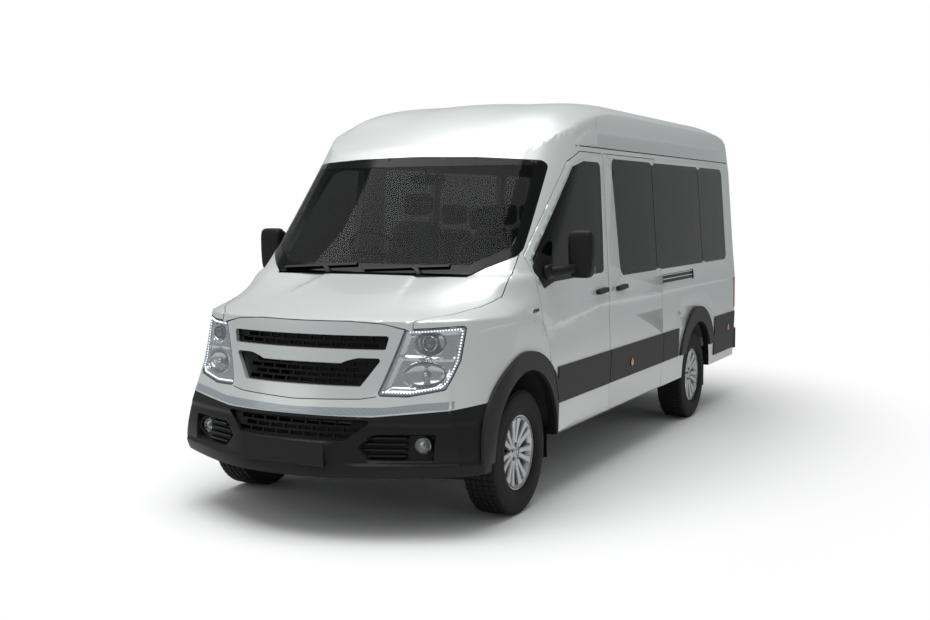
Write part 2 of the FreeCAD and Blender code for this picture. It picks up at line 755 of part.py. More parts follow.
door_strip = strip_between(480, door_split - 1)
door_trim = fused([door_strip, largest(door_flare)])
door_trim = Part.makeCompound(door_trim.Solids + [door_handle(1165, 1345)])
save("door_trim_left", door_trim)
save("door_trim_right", mirrored(door_trim))
flare_start = wheelbase - 560
slide_strip = strip_between(door_split + 12, slide_rear - 2)
side_strip = strip_between(slide_rear + 8, flare_start)
tail_strip = strip_between(wheelbase + 552, body_rear - 130, 470)
left_trim = [largest(front_flare), largest(rear_flare), slide_strip, side_strip, tail_strip, door_handle(1565, 1745)]
right_trim = [mirrored(piece) for piece in left_trim[:-1]]
save("body_trim", Part.makeCompound(left_trim + right_trim))

# Rear bumper wrapping round the corners
bumper_plan = [(-half_width + 8, body_rear - 128), (half_width - 8, body_rear - 128),
               (half_width - 8, body_rear + body_tail), (8 - half_width, body_rear + body_tail)]
rear_bumper = prism(bumper_plan, "z", 455, rear_door_bottom - 20, 90).cut(outer)
save("rear_bumper", largest(rear_bumper))


# Wheels: alloy rims with paired spokes, and tyres
def revolved_x(profile):
    """Solid of revolution about the X axis from points of station and radius."""
    closed = profile + profile[:1]
    face = Part.Face(Part.makePolygon([Vector(x, 0, r) for x, r in closed]))
    return face.revolve(Vector(0, 0, 0), Vector(1, 0, 0), 360)


def rim_solid():
    """Rim at the origin with its spin axis along X and its face towards +X."""
    half = rim_width / 2
    lip = rim_radius + rim_lip
    barrel = revolved_x([(-half, lip), (16 - half, rim_radius), (half - 16, rim_radius), (half, lip),
                         (half, lip - 8), (half - 20, rim_radius - 10), (20 - half, rim_radius - 10),
                         (-half, lip - 8)])
    pieces = [barrel, Part.makeCylinder(hub_radius, hub_face - hub_seat, Vector(hub_seat, 0, 0), Vector(1, 0, 0))]
    for index in range(spoke_pairs):
        for lean in (-spoke_lean, spoke_lean):
            spoke = prism([(-11, 30), (11, 30), (14, rim_radius - 6), (-14, rim_radius - 6)], "x", 42, 74)
            spoke.rotate(Vector(0, 0, 0), Vector(1, 0, 0), index * 360 / spoke_pairs + lean)
            pieces.append(spoke)
    return fused(pieces)


def tyre_solid():
    half = tyre_width / 2
    bead = rim_radius + rim_lip + seat_gap
    return revolved_x([(-rim_width / 2, bead), (12 - half, tyre_radius), (half - 16, tyre_radius),
                       (half, bead + 55), (rim_width / 2, bead)])


rim = rim_solid()
tyre = tyre_solid()
for corner, side, station in (("front_left", 1, 0), ("front_right", -1, 0),
                              ("rear_left", 1, wheelbase), ("rear_right", -1, wheelbase)):
    where = (side * wheel_x, station, tyre_radius)
    save("rim_" + corner, moved(rim if side > 0 else mirrored(rim), *where))
    save("tyre_" + corner, moved(tyre if side > 0 else mirrored(tyre), *where))

# Steering knuckles with hub, disc and kingpin bosses
stub_end = wheel_x + hub_seat - seat_gap
upright_low = tyre_radius - 130
upright_high = tyre_radius + 150
disc = cylinder_x(150, wheel_x - 60, wheel_x - 36, 0, tyre_radius)
hub = cylinder_x(55, kingpin_x - 30, stub_end, 0, tyre_radius)
upright = box(kingpin_x - 28, kingpin_x + 12, -45, 45, upright_low, upright_high)
knuckle = fused([disc, hub, upright])
save("knuckle_left", knuckle)
save("knuckle_right", mirrored(knuckle))

# Front cross beam and suspension arms
rail_face = frame_rail_x + rail_width / 2
arm_end = kingpin_x - 20
beam = box(-frame_rail_x, frame_rail_x, -110, 110, 300, frame_bottom)
sump_guard = box(-400, 400, -90, 90, 180, 301)
tower = box(frame_rail_x - rail_width / 2, rail_face, -90, 90, 300, rail_bottom - seat_gap)
lower_arm = prism([(frame_rail_x - 60, -150), (arm_end, -30), (arm_end, 30), (frame_rail_x - 60, 150)],
                  "z", upright_low - 50, upright_low - seat_gap)
upper_arm = prism([(rail_face + seat_gap, -90), (arm_end, -25), (arm_end, 25), (rail_face + seat_gap, 90)],
                  "z", upright_high + seat_gap, upright_high + 35)
beam = fused([beam, sump_guard, tower, mirrored(tower), lower_arm, mirrored(lower_arm)])
save("front_suspension", Part.makeCompound([beam, upper_arm, mirrored(upper_arm)]))

# Rear axle with its differential and drums, on leaf springs
tube = cylinder_x(55, -wheel_x + 62, wheel_x - 62, wheelbase, tyre_radius)
bulge = revolved_x([(-170, 0), (-170, 70), (-60, 150), (60, 150), (170, 70), (170, 0)])
drum = cylinder_x(150, wheel_x - 100, wheel_x - 36, wheelbase, tyre_radius)
stub = cylinder_x(50, wheel_x - 60, stub_end, wheelbase, tyre_radius)
save("rear_axle", fused([tube, moved(bulge, 0, wheelbase, tyre_radius), drum, mirrored(drum), stub, mirrored(stub)]))
leaf_top = [Vector(0, wheelbase - 650, 516), Vector(0, wheelbase, 461), Vector(0, wheelbase + 650, 516)]
leaf_low = [point.add(Vector(0, 0, -36)) for point in leaf_top]
leaf = Part.Face(Part.Wire([arc_edge(*leaf_top), line_edge(leaf_top[2], leaf_low[2]),
                            arc_edge(leaf_low[2], leaf_low[1], leaf_low[0]),
                            line_edge(leaf_low[0], leaf_top[0])])).extrude(Vector(70, 0, 0))
leaf.translate(Vector(540, 0, 0))
clamp = box(535, 615, wheelbase - 60, wheelbase + 60, tyre_radius + 40, 470)
clamp = clamp.cut(cylinder_x(55 + seat_gap, 500, 700, wheelbase, tyre_radius))
hangers = [box(rail_face, 612, station, station + 50, rail_bottom, 560)
           for station in (wheelbase - 650, wheelbase + 600)]
save("leaf_springs", both_sides(fused([leaf, clamp] + hangers)))

# Ladder frame
rail = box(frame_rail_x - rail_width / 2, rail_face, -900, body_rear - 85, rail_bottom, rail_top)
rail = rail.common(moved(inner, 0, seat_gap))
cross_end = frame_rail_x - rail_width / 2
crosses = [box(-cross_end, cross_end, station, station + 70, cross_bottom, rail_top - 30)
           for station in (-765, 850, 1500, 2700, 4300, body_rear - 165)]
save("chassis_frame", Part.makeCompound([rail, mirrored(rail)] + crosses))

# Engine, gearbox, prop shaft, exhaust and fuel tank
engine_rear = 180.0
save("engine_block", box(-280, 280, -520, engine_rear, frame_bottom + seat_gap, 1080))
gearbox = Part.makeCone(115, 70, 620, Vector(0, engine_rear + seat_gap, 455), Vector(0, 1, 0))
shaft_start = Vector(0, engine_rear + 600, 455)
shaft_end = Vector(0, wheelbase - 150 - seat_gap, tyre_radius)
shaft_run = shaft_end.sub(shaft_start)
shaft = Part.makeCylinder(38, shaft_run.Length - 4, shaft_start, shaft_run)
save("driveline", fused([gearbox, shaft]))
pipe_height = cross_bottom - 25 - seat_gap
pipe_end = body_rear - 260
pipe = Part.makeCylinder(25, pipe_end - 300, Vector(250, 300, pipe_height), Vector(0, 1, 0))
tail_pipe = Part.makeCylinder(25, 150, Vector(250, pipe_end - 20, pipe_height), Vector(0, 0.5, -0.866))
silencer = Part.makeCylinder(85, 620, Vector(250, 1900, pipe_height - 66), Vector(0, 1, 0))
save("exhaust", fused([pipe, tail_pipe, silencer]))
tank = prism([(-870, 450), (-rail_face - seat_gap, 420), (-rail_face - seat_gap, rail_top - 20),
              (-870, rail_top - 20)], "y", 1900, 2850, 30)
save("fuel_tank", tank)

# Floor on its cross members, with the rear wheel boxes
pan_low = floor_top - floor_thickness
bulkhead_front = 240.0
bulkhead_rear = 280.0
floor_start = bulkhead_rear + seat_gap
floor_end = bar_front - seat_gap
floor = box(-half_width, half_width, floor_start, floor_end, pan_low, floor_top)
runners = [box(-940, 940, station, station + 60, rail_top + seat_gap, pan_low + 1)
           for station in (520, 1500, 2700, 4480)]
box_inner = 640.0
wheel_box = cylinder_x(rear_arch_radius + 14, box_inner, half_width, wheelbase, arch_height)
wheel_box = wheel_box.common(box(0, half_width, wheelbase - 600, wheelbase + 600, pan_low, 1200))
pan = fitted(fused([floor, wheel_box, mirrored(wheel_box)] + runners))
tunnel = cylinder_x(rear_arch_radius, box_inner + 14, far_out, wheelbase, arch_height)
arch_room = cylinder_x(front_arch_radius + 6 + seat_gap, liner_inner - seat_gap, far_out, 0, arch_height)
for hollow in (tunnel, arch_room):
    pan = pan.cut(hollow).cut(mirrored(hollow))
save("floor_pan", pan)

# Bulkhead with the scuttle above it, and the dashboard
fire_wall = prism([(bulkhead_front, rail_top + seat_gap), (bulkhead_rear, rail_top + seat_gap),
                   (bulkhead_rear, 1330), (120, 1342), (120, 1316), (bulkhead_front, 1296)], "x", -960, 960)
swing_room = both_sides(box(swing_room_x, far_out, 220, bulkhead_rear + 1, 1240, 1400))
save("bulkhead", fitted(fire_wall).cut(arch_room).cut(mirrored(arch_room)).cut(swing_room))
dash = prism([(bulkhead_rear + seat_gap, 1000), (bulkhead_rear + seat_gap, 1330 + seat_gap), (60, 1352),
              (60, 1372), (330, 1398), (560, 1345), (650, 1250), (610, 1020)], "x", -dash_reach, dash_reach)
dash = fitted(dash)
column_axis = Vector(0, 0.8211, 0.5708)
wheel_centre = Vector(-400, 700, 1480)


def along_column(distance):
    """A point on the steering column, at a distance below the steering wheel's rim."""
    return wheel_centre.sub(Vector(column_axis).multiply(distance))


boss_depth = 40.0
shroud = Part.makeCylinder(48, 225, along_column(boss_depth + seat_gap + 225), column_axis)
save("dashboard", fused([dash, shroud]))
rim_section = []
for step in range(8):
    turn = math.radians(45 * step + 22.5)
    rim_section.append((16 * math.cos(turn), 190 + 16 * math.sin(turn)))
wheel_ring = revolved_x(rim_section)
wheel_boss = Part.makeCylinder(60, boss_depth, Vector(-boss_depth, 0, 0), Vector(1, 0, 0))
wheel_bars = [box(-22, -6, -185, 185, -16, 16), box(-22, -6, -16, 16, -185, 0)]
steering_wheel = fused([wheel_ring, wheel_boss] + wheel_bars)
steering_wheel.rotate(Vector(0, 0, 0), Vector(0, 0, 1), 90)
steering_wheel.rotate(Vector(0, 0, 0), Vector(1, 0, 0), math.degrees(math.atan2(0.5708, 0.8211)))
save("steering_wheel", moved(steering_wheel, wheel_centre.x, wheel_centre.y, wheel_centre.z))

# Mirrors on the black corner patches of the front doors' windows
patch = side_region([(268, 1358), (440, 1352), (350, 1450), (284, 1470)], 10)
patch = patch.common(moved(half_outer, 14)).cut(half_outer)
arm = prism([(330, 1385), (400, 1378), (560, 1400), (560, 1455), (400, 1436), (330, 1430)], "x", 900, 1080)
mirror_head = prism([(498, 1362), (590, 1362), (602, 1640), (512, 1648)], "x", 1062, 1228, 26)
mirror = fused([patch, arm.cut(half_outer), mirror_head])
save("door_mirror_left", largest(mirror))
save("door_mirror_right", mirrored(largest(mirror)))

# Seats on pedestals that stand on the floor
cushion_low = floor_top + 330


def seat(x, station, wide, tall):
    """Cushion, backrest and head restraint of one seat."""
    low = cushion_low
    left = x - wide / 2
    right = x + wide / 2
    cushion = prism([(station, low), (station + 470, low), (station + 470, low + 120), (station + 30, low + 130),
                     (station, low + 100)], "x", left, right)
    back = prism([(station + 470 + seat_gap, low + 60), (station + 560, low + 50), (station + 660, low + tall),
                  (station + 580, low + tall)], "x", left, right)
    head_low = low + tall + seat_gap
    head = prism([(station + 590, head_low), (station + 664, head_low), (station + 684, head_low + 150),
                  (station + 664, head_low + 178), (station + 626, head_low + 178)], "x", x - 130, x + 130)
    return [cushion, back, head]


def pedestal(x, station, wide):
    """Pan under the cushion and the leg that carries it."""
    pan = box(x - wide / 2 + 15, x + wide / 2 - 15, station + 15, station + 455, cushion_low - 25,
              cushion_low - seat_gap)
    leg_x = x if abs(x) < 600 else math.copysign(abs(x) - 115, x)
    leg = box(leg_x - 60, leg_x + 60, station + 60, station + 400, floor_top + seat_gap, cushion_low - 24)
    return fused([pan, leg])


places = [(-400, 660, 480, 700), (130, 660, 430, 600), (585, 660, 430, 600)]
front_seats = []
for place_values in places:
    front_seats += seat(*place_values)
save("front_seats", Part.makeCompound(front_seats))
frames = [pedestal(x, station, wide) for x, station, wide, tall in places]
passenger_seats = []
for row in range(4):
    for x in (-665, -225, 225, 665):
        left_out = (x > 0 and row == 0) or (x == 225 and row < 3)
        if not left_out:
            station = first_row + row * row_pitch
            passenger_seats += seat(x, station, 430, 620)
            frames.append(pedestal(x, station, 430))
save("passenger_seats", Part.makeCompound(passenger_seats))
save("seat_frames", Part.makeCompound(frames))

# Inner arches over the front wheels, and mud flaps behind all four wheels
liner = cylinder_x(front_arch_radius + 6, liner_inner, far_out, 0, arch_height)
liner = liner.cut(cylinder_x(front_arch_radius, liner_inner + 6, far_out, 0, arch_height))
liner = liner.common(box(liner_inner, far_out, -500, 500, 450, 1000))
liner = liner.common(tight_half).cut(box(0, kingpin_x + 40, -130, 130, 450, upright_high + 80))
save("wheel_liners", both_sides(largest(liner)))


def mud_flap(station, bottom):
    hung = box(800, 1000, station, station + 8, sill_height, 560).common(tight_half)
    lower = box(800, 955, station, station + 8, bottom, sill_height + 1)
    return fused([hung, lower])


flaps = [mud_flap(front_arch_radius + 6, 247), mud_flap(wheelbase + rear_arch_radius + 24, 211)]
save("mud_flaps", both_sides(Part.makeCompound(flaps)))
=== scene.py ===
import bpy
import bmesh
import json
import math
from mathutils import Matrix, Vector
from mathutils.bvhtree import BVHTree


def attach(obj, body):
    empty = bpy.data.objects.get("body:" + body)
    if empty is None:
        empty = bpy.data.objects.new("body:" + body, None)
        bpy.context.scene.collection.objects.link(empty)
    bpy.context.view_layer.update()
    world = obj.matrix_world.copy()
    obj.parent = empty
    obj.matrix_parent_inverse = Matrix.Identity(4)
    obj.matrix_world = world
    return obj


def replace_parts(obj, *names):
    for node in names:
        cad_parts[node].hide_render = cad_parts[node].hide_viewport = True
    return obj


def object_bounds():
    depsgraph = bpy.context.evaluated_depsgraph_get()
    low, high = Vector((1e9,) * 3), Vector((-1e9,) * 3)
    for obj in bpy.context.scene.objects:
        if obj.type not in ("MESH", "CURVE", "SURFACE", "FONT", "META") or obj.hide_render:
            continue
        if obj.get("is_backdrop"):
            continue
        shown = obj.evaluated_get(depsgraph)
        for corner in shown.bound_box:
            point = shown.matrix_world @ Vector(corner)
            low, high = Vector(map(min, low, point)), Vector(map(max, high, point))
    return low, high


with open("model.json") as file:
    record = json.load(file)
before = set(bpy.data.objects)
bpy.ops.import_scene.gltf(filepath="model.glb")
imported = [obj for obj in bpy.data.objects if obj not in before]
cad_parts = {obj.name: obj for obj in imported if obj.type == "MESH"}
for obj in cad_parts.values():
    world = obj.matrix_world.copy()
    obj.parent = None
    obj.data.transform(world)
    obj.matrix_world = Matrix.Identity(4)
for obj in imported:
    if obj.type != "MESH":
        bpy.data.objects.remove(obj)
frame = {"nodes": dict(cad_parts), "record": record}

cadLow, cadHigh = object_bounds()
nodes = frame["nodes"]
bodyOfNode = {node: body for body, names in frame["record"]["behaviour"]["bodies"].items() for node in names}
slotOfNode = {part["node"]: part["material_slot"] for part in frame["record"]["subparts"]}
midStation = 2025.0  # mm from the front axle to the middle of the vehicle
rearAxle = 3615.0
print("stage: frame loaded,", len(nodes), "nodes")


def at(x, y, z):
    # x and z in mm, y in mm behind the front axle
    return Vector((x / 1000, (y - midStation) / 1000, z / 1000))


def inMm(co):
    # The other way: a point of the scene in mm, with y behind the front axle
    return co.x * 1000, co.y * 1000 + midStation, co.z * 1000


def toLinear(hexColour):
    channels = [int(hexColour[i:i + 2], 16) / 255 for i in (1, 3, 5)]
    return tuple(c / 12.92 if c <= 0.04045 else ((c + 0.055) / 1.055) ** 2.4 for c in channels) + (1.0,)


def addNode(tree, kind, settings=None, links=None):
    node = tree.nodes.new(kind)
    for key, value in (settings or {}).items():
        if isinstance(key, int) or key in node.inputs:
            node.inputs[key].default_value = value
        else:
            setattr(node, key, value)
    for key, source in (links or {}).items():
        tree.links.new(source, node.inputs[key])
    return node


# Finishes: base and second colour in sRGB, patch size in mm, roughness, grain size and grain depth in mm,
# then what else the shader needs
finishes = {
    # two-coat silver-white metallic: fine flakes under a clear gloss coat
    "pearlPaint": ("#cfd3d1", "#c6cac8", 2.5, 0.34, 0.9, 0.004,
                   {"Metallic": 0.35, "Coat Weight": 0.7, "Coat Roughness": 0.06}),
    # silver paint on the moulded grille surround, a little duller than the sheet metal
    "silverPlasticPaint": ("#c9cccb", "#c0c3c2", 3.0, 0.3, 1.2, 0.006,
                           {"Metallic": 0.35, "Coat Weight": 0.5, "Coat Roughness": 0.1}),
    # moulded polypropylene, spark-eroded grain: dark, dull, faintly mottled
    "grainedPolypropylene": ("#121212", "#181817", 14.0, 0.5, 1.6, 0.18, {"Specular IOR Level": 0.22}),
    # the same moulding, a shade greyer, on the side cladding
    "claddingPolypropylene": ("#242322", "#2a2928", 22.0, 0.52, 1.8, 0.2, {"Specular IOR Level": 0.25}),
    # smooth black ABS with a satin face
    "satinAbs": ("#101010", "#151515", 8.0, 0.38, 0.8, 0.03, {"Specular IOR Level": 0.25}),
    # gloss black ABS grille moulding
    "glossBlackAbs": ("#080808", "#0d0d0d", 6.0, 0.3, 1.0, 0.02, {"Specular IOR Level": 0.2}),
    # vacuum-metallised reflector
    "chromedReflector": ("#b4b8ba", "#9a9ea1", 9.0, 0.16, 3.0, 0.05, {"Metallic": 1.0}),
    # bright rolled aluminium trim
    "polishedTrim": ("#c8cbcc", "#b9bcbd", 5.0, 0.18, 0.8, 0.01, {"Metallic": 1.0}),
    # clear hard-coated polycarbonate lamp cover
    "clearPolycarbonate": ("#f4f7f8", "#eef2f4", 30.0, 0.03, None, None,
                           {"Alpha": 0.13, "IOR": 1.9, "Coat Weight": 0.6}),
    # laminated screen with a light green-grey tint
    "laminatedGlass": ("#0b0d0c", "#0e100f", 120.0, 0.02, None, None,
                       {"Alpha": 0.5, "IOR": 1.45, "Specular IOR Level": 0.12}),
    # dark tinted toughened side glass
    "tintedGlass": ("#0a0c0b", "#0d0f0e", 120.0, 0.03, None, None,
                    {"Alpha": 0.74, "IOR": 1.45, "Specular IOR Level": 0.3}),
    # fired black ceramic border of the glass
    "ceramicFrit": ("#050506", "#08090a", 9.0, 0.12, 0.9, 0.004, {"Specular IOR Level": 0.15}),
    # cast alloy, silver painted and lacquered, with faintly darker patches at random
    "silverCastAlloy": ("#c4c6c7", "#a9abac", 26.0, 0.3, 1.2, 0.03, {"Metallic": 0.75, "Coat Weight": 0.4}),
    # machined steel faces: fine turned lines
    "turnedSteel": ("#8b8c8d", "#6e6f70", 3.0, 0.34, 0.8, 0.03, {"Metallic": 1.0}),
    # vulcanised tyre rubber, bloomed a little brown-grey
    "tyreRubber": ("#171615", "#1e1d1b", 18.0, 0.72, 1.1, 0.12, {"Specular IOR Level": 0.25}),
    # extruded rubber seals and liners
    "sealRubber": ("#0c0c0c", "#121212", 10.0, 0.66, 1.2, 0.08, {"Specular IOR Level": 0.2}),
    # wax-coated chassis paint over pressed steel
    "chassisPaint": ("#151515", "#22201e", 34.0, 0.5, 2.6, 0.15, {}),
    # as-cast iron and aluminium
    "rawCasting": ("#5c5b59", "#494744", 16.0, 0.6, 1.4, 0.2, {"Metallic": 0.6}),
    # light grey interior mouldings and headliner, fine grain
    "greyTrimPanel": ("#8b8a86", "#82817c", 20.0, 0.62, 1.4, 0.12, {}),
    # dark soft-touch dashboard skin
    "darkDashSkin": ("#232425", "#1b1c1d", 12.0, 0.6, 1.5, 0.2, {}),
    # blue cord sewn into the seat seams
    "bluePiping": ("#1c3f9c", "#17347f", 2.0, 0.55, 1.5, 0.2, {"Sheen Weight": 0.4}),
    # moulded acrylic lenses, with fine optic ribs that scatter the light
    "amberLens": ("#e8731f", "#d25f16", 3.0, 0.14, 3.2, 0.1, {"Coat Weight": 0.6}),
    "redLens": ("#8f1313", "#a31c18", 6.0, 0.12, 4.0, 0.12, {"Coat Weight": 0.6}),
    "ledLens": ("#eef4ff", "#dfe9ff", 4.0, 0.2, None, None,
                {"Emission Color": toLinear("#dfeaff"), "Emission Strength": 1.4}),
    "smokedLens": ("#26292b", "#1c1f21", 5.0, 0.06, None, None, {"Coat Weight": 0.8}),
    # retro-reflective tape: prism cells under a clear film, drawn 9 mm wide to show
    "prismTape": ("#878f94", "#a9b1b6", 5.0, 0.28, 2.0, 0.05, {"Metallic": 0.35, "Coat Weight": 0.5}),
    # silvered mirror glass
    "mirrorSilver": ("#e4e8ea", "#dde1e3", 60.0, 0.02, None, None, {"Metallic": 1.0}),
    # flat woven upholstery
    "wovenSeatCloth": ("#17181b", "#202228", 7.0, 0.85, None, None, {"Sheen Weight": 0.3}),
}
patterns = {"coatRoughness": 0.04, "grainStrength": 0.6, "tapeCell": 9.0, "thread": 2.4, "threadDepth": 0.35,
            "threadStrength": 0.7}


def makeFinish(name):
    base, second, patch, roughness, grainSize, grainDepth, more = finishes[name]
    material = bpy.data.materials.new(name)
    material.use_nodes = True
    tree = material.node_tree
    tree.nodes.clear()
    output = addNode(tree, "ShaderNodeOutputMaterial")
    settings = {"Roughness": roughness, "Coat Roughness": patterns["coatRoughness"], **more}
    shader = addNode(tree, "ShaderNodeBsdfPrincipled", settings)
    place = addNode(tree, "ShaderNodeTexCoord")
    here = {"Vector": place.outputs["Object"]}
    if name == "prismTape":
        cells = {"Scale": 1000 / patterns["tapeCell"], "Randomness": 0.15}
        mixFactor = addNode(tree, "ShaderNodeTexVoronoi", cells, here).outputs["Distance"]
    else:
        blotches = {"Scale": 1000 / patch, "Detail": 3.0}
        mixFactor = addNode(tree, "ShaderNodeTexNoise", blotches, here).outputs["Fac"]
    tint = addNode(tree, "ShaderNodeMix", {"data_type": "RGBA"}, {"Factor": mixFactor})
    colours = [socket for socket in tint.inputs if socket.type == "RGBA"]
    colours[0].default_value = toLinear(base)
    colours[1].default_value = toLinear(second)
    result = next(socket for socket in tint.outputs if socket.type == "RGBA")
    tree.links.new(result, shader.inputs["Base Color"])
    height = None
    if grainSize:
        grain = {"Scale": 1000 / grainSize, "Detail": 2.0}
        height = addNode(tree, "ShaderNodeTexNoise", grain, here).outputs["Fac"]
        relief = {"Strength": patterns["grainStrength"], "Distance": grainDepth / 1000}
    if name == "wovenSeatCloth":
        # crossing ribs, drawn coarser than the real thread to show
        ribs = [addNode(tree, "ShaderNodeTexWave", {"bands_direction": direction, "Distortion": 0.6,
                                                    "Scale": 1000 / patterns["thread"] / math.tau}, here)
                for direction in ("X", "Z")]
        crossed = addNode(tree, "ShaderNodeMath", {"operation": "MULTIPLY"},
                          {0: ribs[0].outputs["Fac"], 1: ribs[1].outputs["Fac"]})
        height = crossed.outputs["Value"]
        relief = {"Strength": patterns["threadStrength"], "Distance": patterns["threadDepth"] / 1000}
    if height:
        bump = addNode(tree, "ShaderNodeBump", relief, {"Height": height})
        tree.links.new(bump.outputs["Normal"], shader.inputs["Normal"])
    tree.links.new(shader.outputs["BSDF"], output.inputs["Surface"])
    return material


finish = {name: makeFinish(name) for name in finishes}
print("stage: finishes made,", len(finish))


# Meshes: every piece is made in place, in metres, and rides on a body of the frame
def meshFrom(bm, finishNames, recalc=True):
    if recalc:
        bmesh.ops.recalc_face_normals(bm, faces=bm.faces)
    mesh = bpy.data.meshes.new("part")
    bm.to_mesh(mesh)
    bm.free()
    for name in finishNames:
        mesh.materials.append(finish[name])
    return mesh


def linked(name, mesh):
    obj = bpy.data.objects.new(name, mesh)
    bpy.context.scene.collection.objects.link(obj)
    return obj


def addMesh(name, mesh, body, slot, degrees=30):
    mesh.name = name
    mesh.shade_smooth()
    mesh.set_sharp_from_angle(angle=math.radians(degrees))
    obj = linked(name, mesh)
    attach(obj, body)
    return obj


def addPiece(name, bm, finishNames, slot, degrees=40, body="body"):
    bmesh.ops.remove_doubles(bm, verts=bm.verts, dist=0.00005)
    return addMesh(name, meshFrom(bm, finishNames), body, slot, degrees)


def mergedMesh(node):
    # A welded bmesh copy of a CAD node, so that it can be smoothed and cut
    bm = bmesh.new()
    bm.from_mesh(nodes[node].data)
    bmesh.ops.remove_doubles(bm, verts=bm.verts, dist=0.00008)
    bmesh.ops.dissolve_degenerate(bm, edges=bm.edges, dist=0.00002)
    return bm


def standIn(name, node, bm, finishNames, degrees=30):
    mesh = meshFrom(bm, finishNames, recalc=False)
    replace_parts(addMesh(name, mesh, bodyOfNode[node], slotOfNode[node], degrees), node)


def cut(bm, point, normal, faces=None):
    # Slices the mesh, or only the given faces of it, along a plane
    chosen = {}
    for face in bm.faces if faces is None else faces:
        chosen.update(dict.fromkeys([face, *face.edges, *face.verts]))
    bmesh.ops.bisect_plane(bm, geom=list(chosen), dist=0.00002, plane_co=point, plane_no=normal)


def gridCut(bm, axis, places, keep):
    normal = Vector((axis == "x", axis == "y", axis == "z"))
    for place in places:
        faces = [face for face in bm.faces if keep(*inMm(face.calc_center_median()))]
        cut(bm, normal * place / 1000, normal, faces)


def mirroredPlaces(places):
    return [side * place for side in (-1, 1) for place in places]


def ramp(value, start, end):
    t = max(0.0, min(1.0, (value - start) / (end - start)))
    return t * t * (3 - 2 * t)


def plateau(value, rise, level, fall, end):
    return ramp(value, rise, level) * (1 - ramp(value, fall, end))


def signedDistance(path, u, v):
    # Distance in mm to an open polyline, positive on its left-hand side
    best = (1e9, 1.0)
    for (u0, v0), (u1, v1) in zip(path, path[1:]):
        du, dv = u1 - u0, v1 - v0
        length = math.hypot(du, dv)
        t = max(0.0, min(1.0, ((u - u0) * du + (v - v0) * dv) / length ** 2))
        gap = math.hypot(u - u0 - t * du, v - v0 - t * dv)
        side = (du * (v - v0) - dv * (u - u0)) / length
        if gap < best[0] - 1e-6:
            best = (gap, side)
    return math.copysign(best[0], best[1])


def edgesOf(outline):
    return list(zip(outline, outline[1:] + outline[:1]))


def depthInside(outline, u, v):
    # mm inside a convex outline that runs anticlockwise, negative outside
    return min(((u1 - u0) * (v - v0) - (v1 - v0) * (u - u0)) / math.hypot(u1 - u0, v1 - v0)
               for (u0, v0), (u1, v1) in edgesOf(outline))


# Pressed lines of the body sides, as side views in mm: y behind the front axle, z
pressings = {
    "belt": {"path": [(250, 1059), (1319, 1144), (4786, 1133)], "steps": (0, -12, -45, -110, -230),
             "depth": 7.0, "profile": (0, 12, 45, 230), "ends": (260, 520, 4560, 4780),
             "endCuts": (300, 420, 560, 4500, 4640, 4780)},
    "wing": {"path": [(-560, 1080), (-500, 1095), (-292, 1124), (-16, 1139), (205, 1114), (313, 1050),
                      (345, 980), (372, 860)], "steps": (0, 12, 40, 95),
             "depth": 7.0, "profile": (0, 12, 30, 95), "front": (-540, -300), "foot": (900, 1010)},
    "rear": {"path": [(2960, 815), (3040, 960), (3160, 1062), (3330, 1104), (3790, 1104), (3960, 1062),
                      (4090, 950), (4160, 815)], "steps": (0, -14, -40),
             "rise": 11.0, "profile": (0, 40), "foot": (812, 840)},
    "sideFrom": 700.0, "margin": 130.0,
}


def sliceAlong(bm, path, steps):
    for (u0, v0), (u1, v1) in zip(path, path[1:]):
        length = math.hypot(u1 - u0, v1 - v0)
        nu, nv = -(v1 - v0) / length, (u1 - u0) / length
        u, v, reach = (u0 + u1) / 2, (v0 + v1) / 2, length / 2 + pressings["margin"]
        for step in steps:
            faces = []
            for face in bm.faces:
                ys, zs = zip(*(inMm(vert.co)[1:] for vert in face.verts))
                if min(ys) < u + reach and max(ys) > u - reach and min(zs) < v + reach and max(zs) > v - reach:
                    faces.append(face)
            cut(bm, at(0, u + nu * step, v + nv * step), (0, nu, nv), faces)


def pressSides(bm, lines):
    belt, wing, rear = (pressings[line] for line in ("belt", "wing", "rear"))
    for line in lines:
        sliceAlong(bm, pressings[line]["path"], pressings[line]["steps"])
        for y in pressings[line].get("endCuts", ()):
            cut(bm, at(0, y, 0), (0, 1, 0))
    for vert in bm.verts:
        x, y, z = inMm(vert.co)
        if abs(x) < pressings["sideFrom"]:
            continue
        inward = 0.0
        if "belt" in lines:
            below = -signedDistance(belt["path"], y, z)
            inward += belt["depth"] * plateau(below, *belt["profile"]) * plateau(y, *belt["ends"])
        if "wing" in lines:
            above = signedDistance(wing["path"], y, z)
            ends = ramp(y, *wing["front"]) * ramp(z, *wing["foot"])
            inward += wing["depth"] * plateau(above, *wing["profile"]) * ends
        if "rear" in lines and rear["path"][0][0] < y < rear["path"][-1][0] and z > rear["foot"][0]:
            inside = -signedDistance(rear["path"], y, z)
            inward -= rear["rise"] * ramp(inside, *rear["profile"]) * ramp(z, *rear["foot"])
        vert.co.x -= math.copysign(inward / 1000, x)


# Linings: faces that look into the cabin are trimmed, those that look at a wheel are lined with rubber
lining = {"wheelReach": 0.64, "axleHeight": 365.0, "crownFrom": 1.9, "crownPull": 2.2}


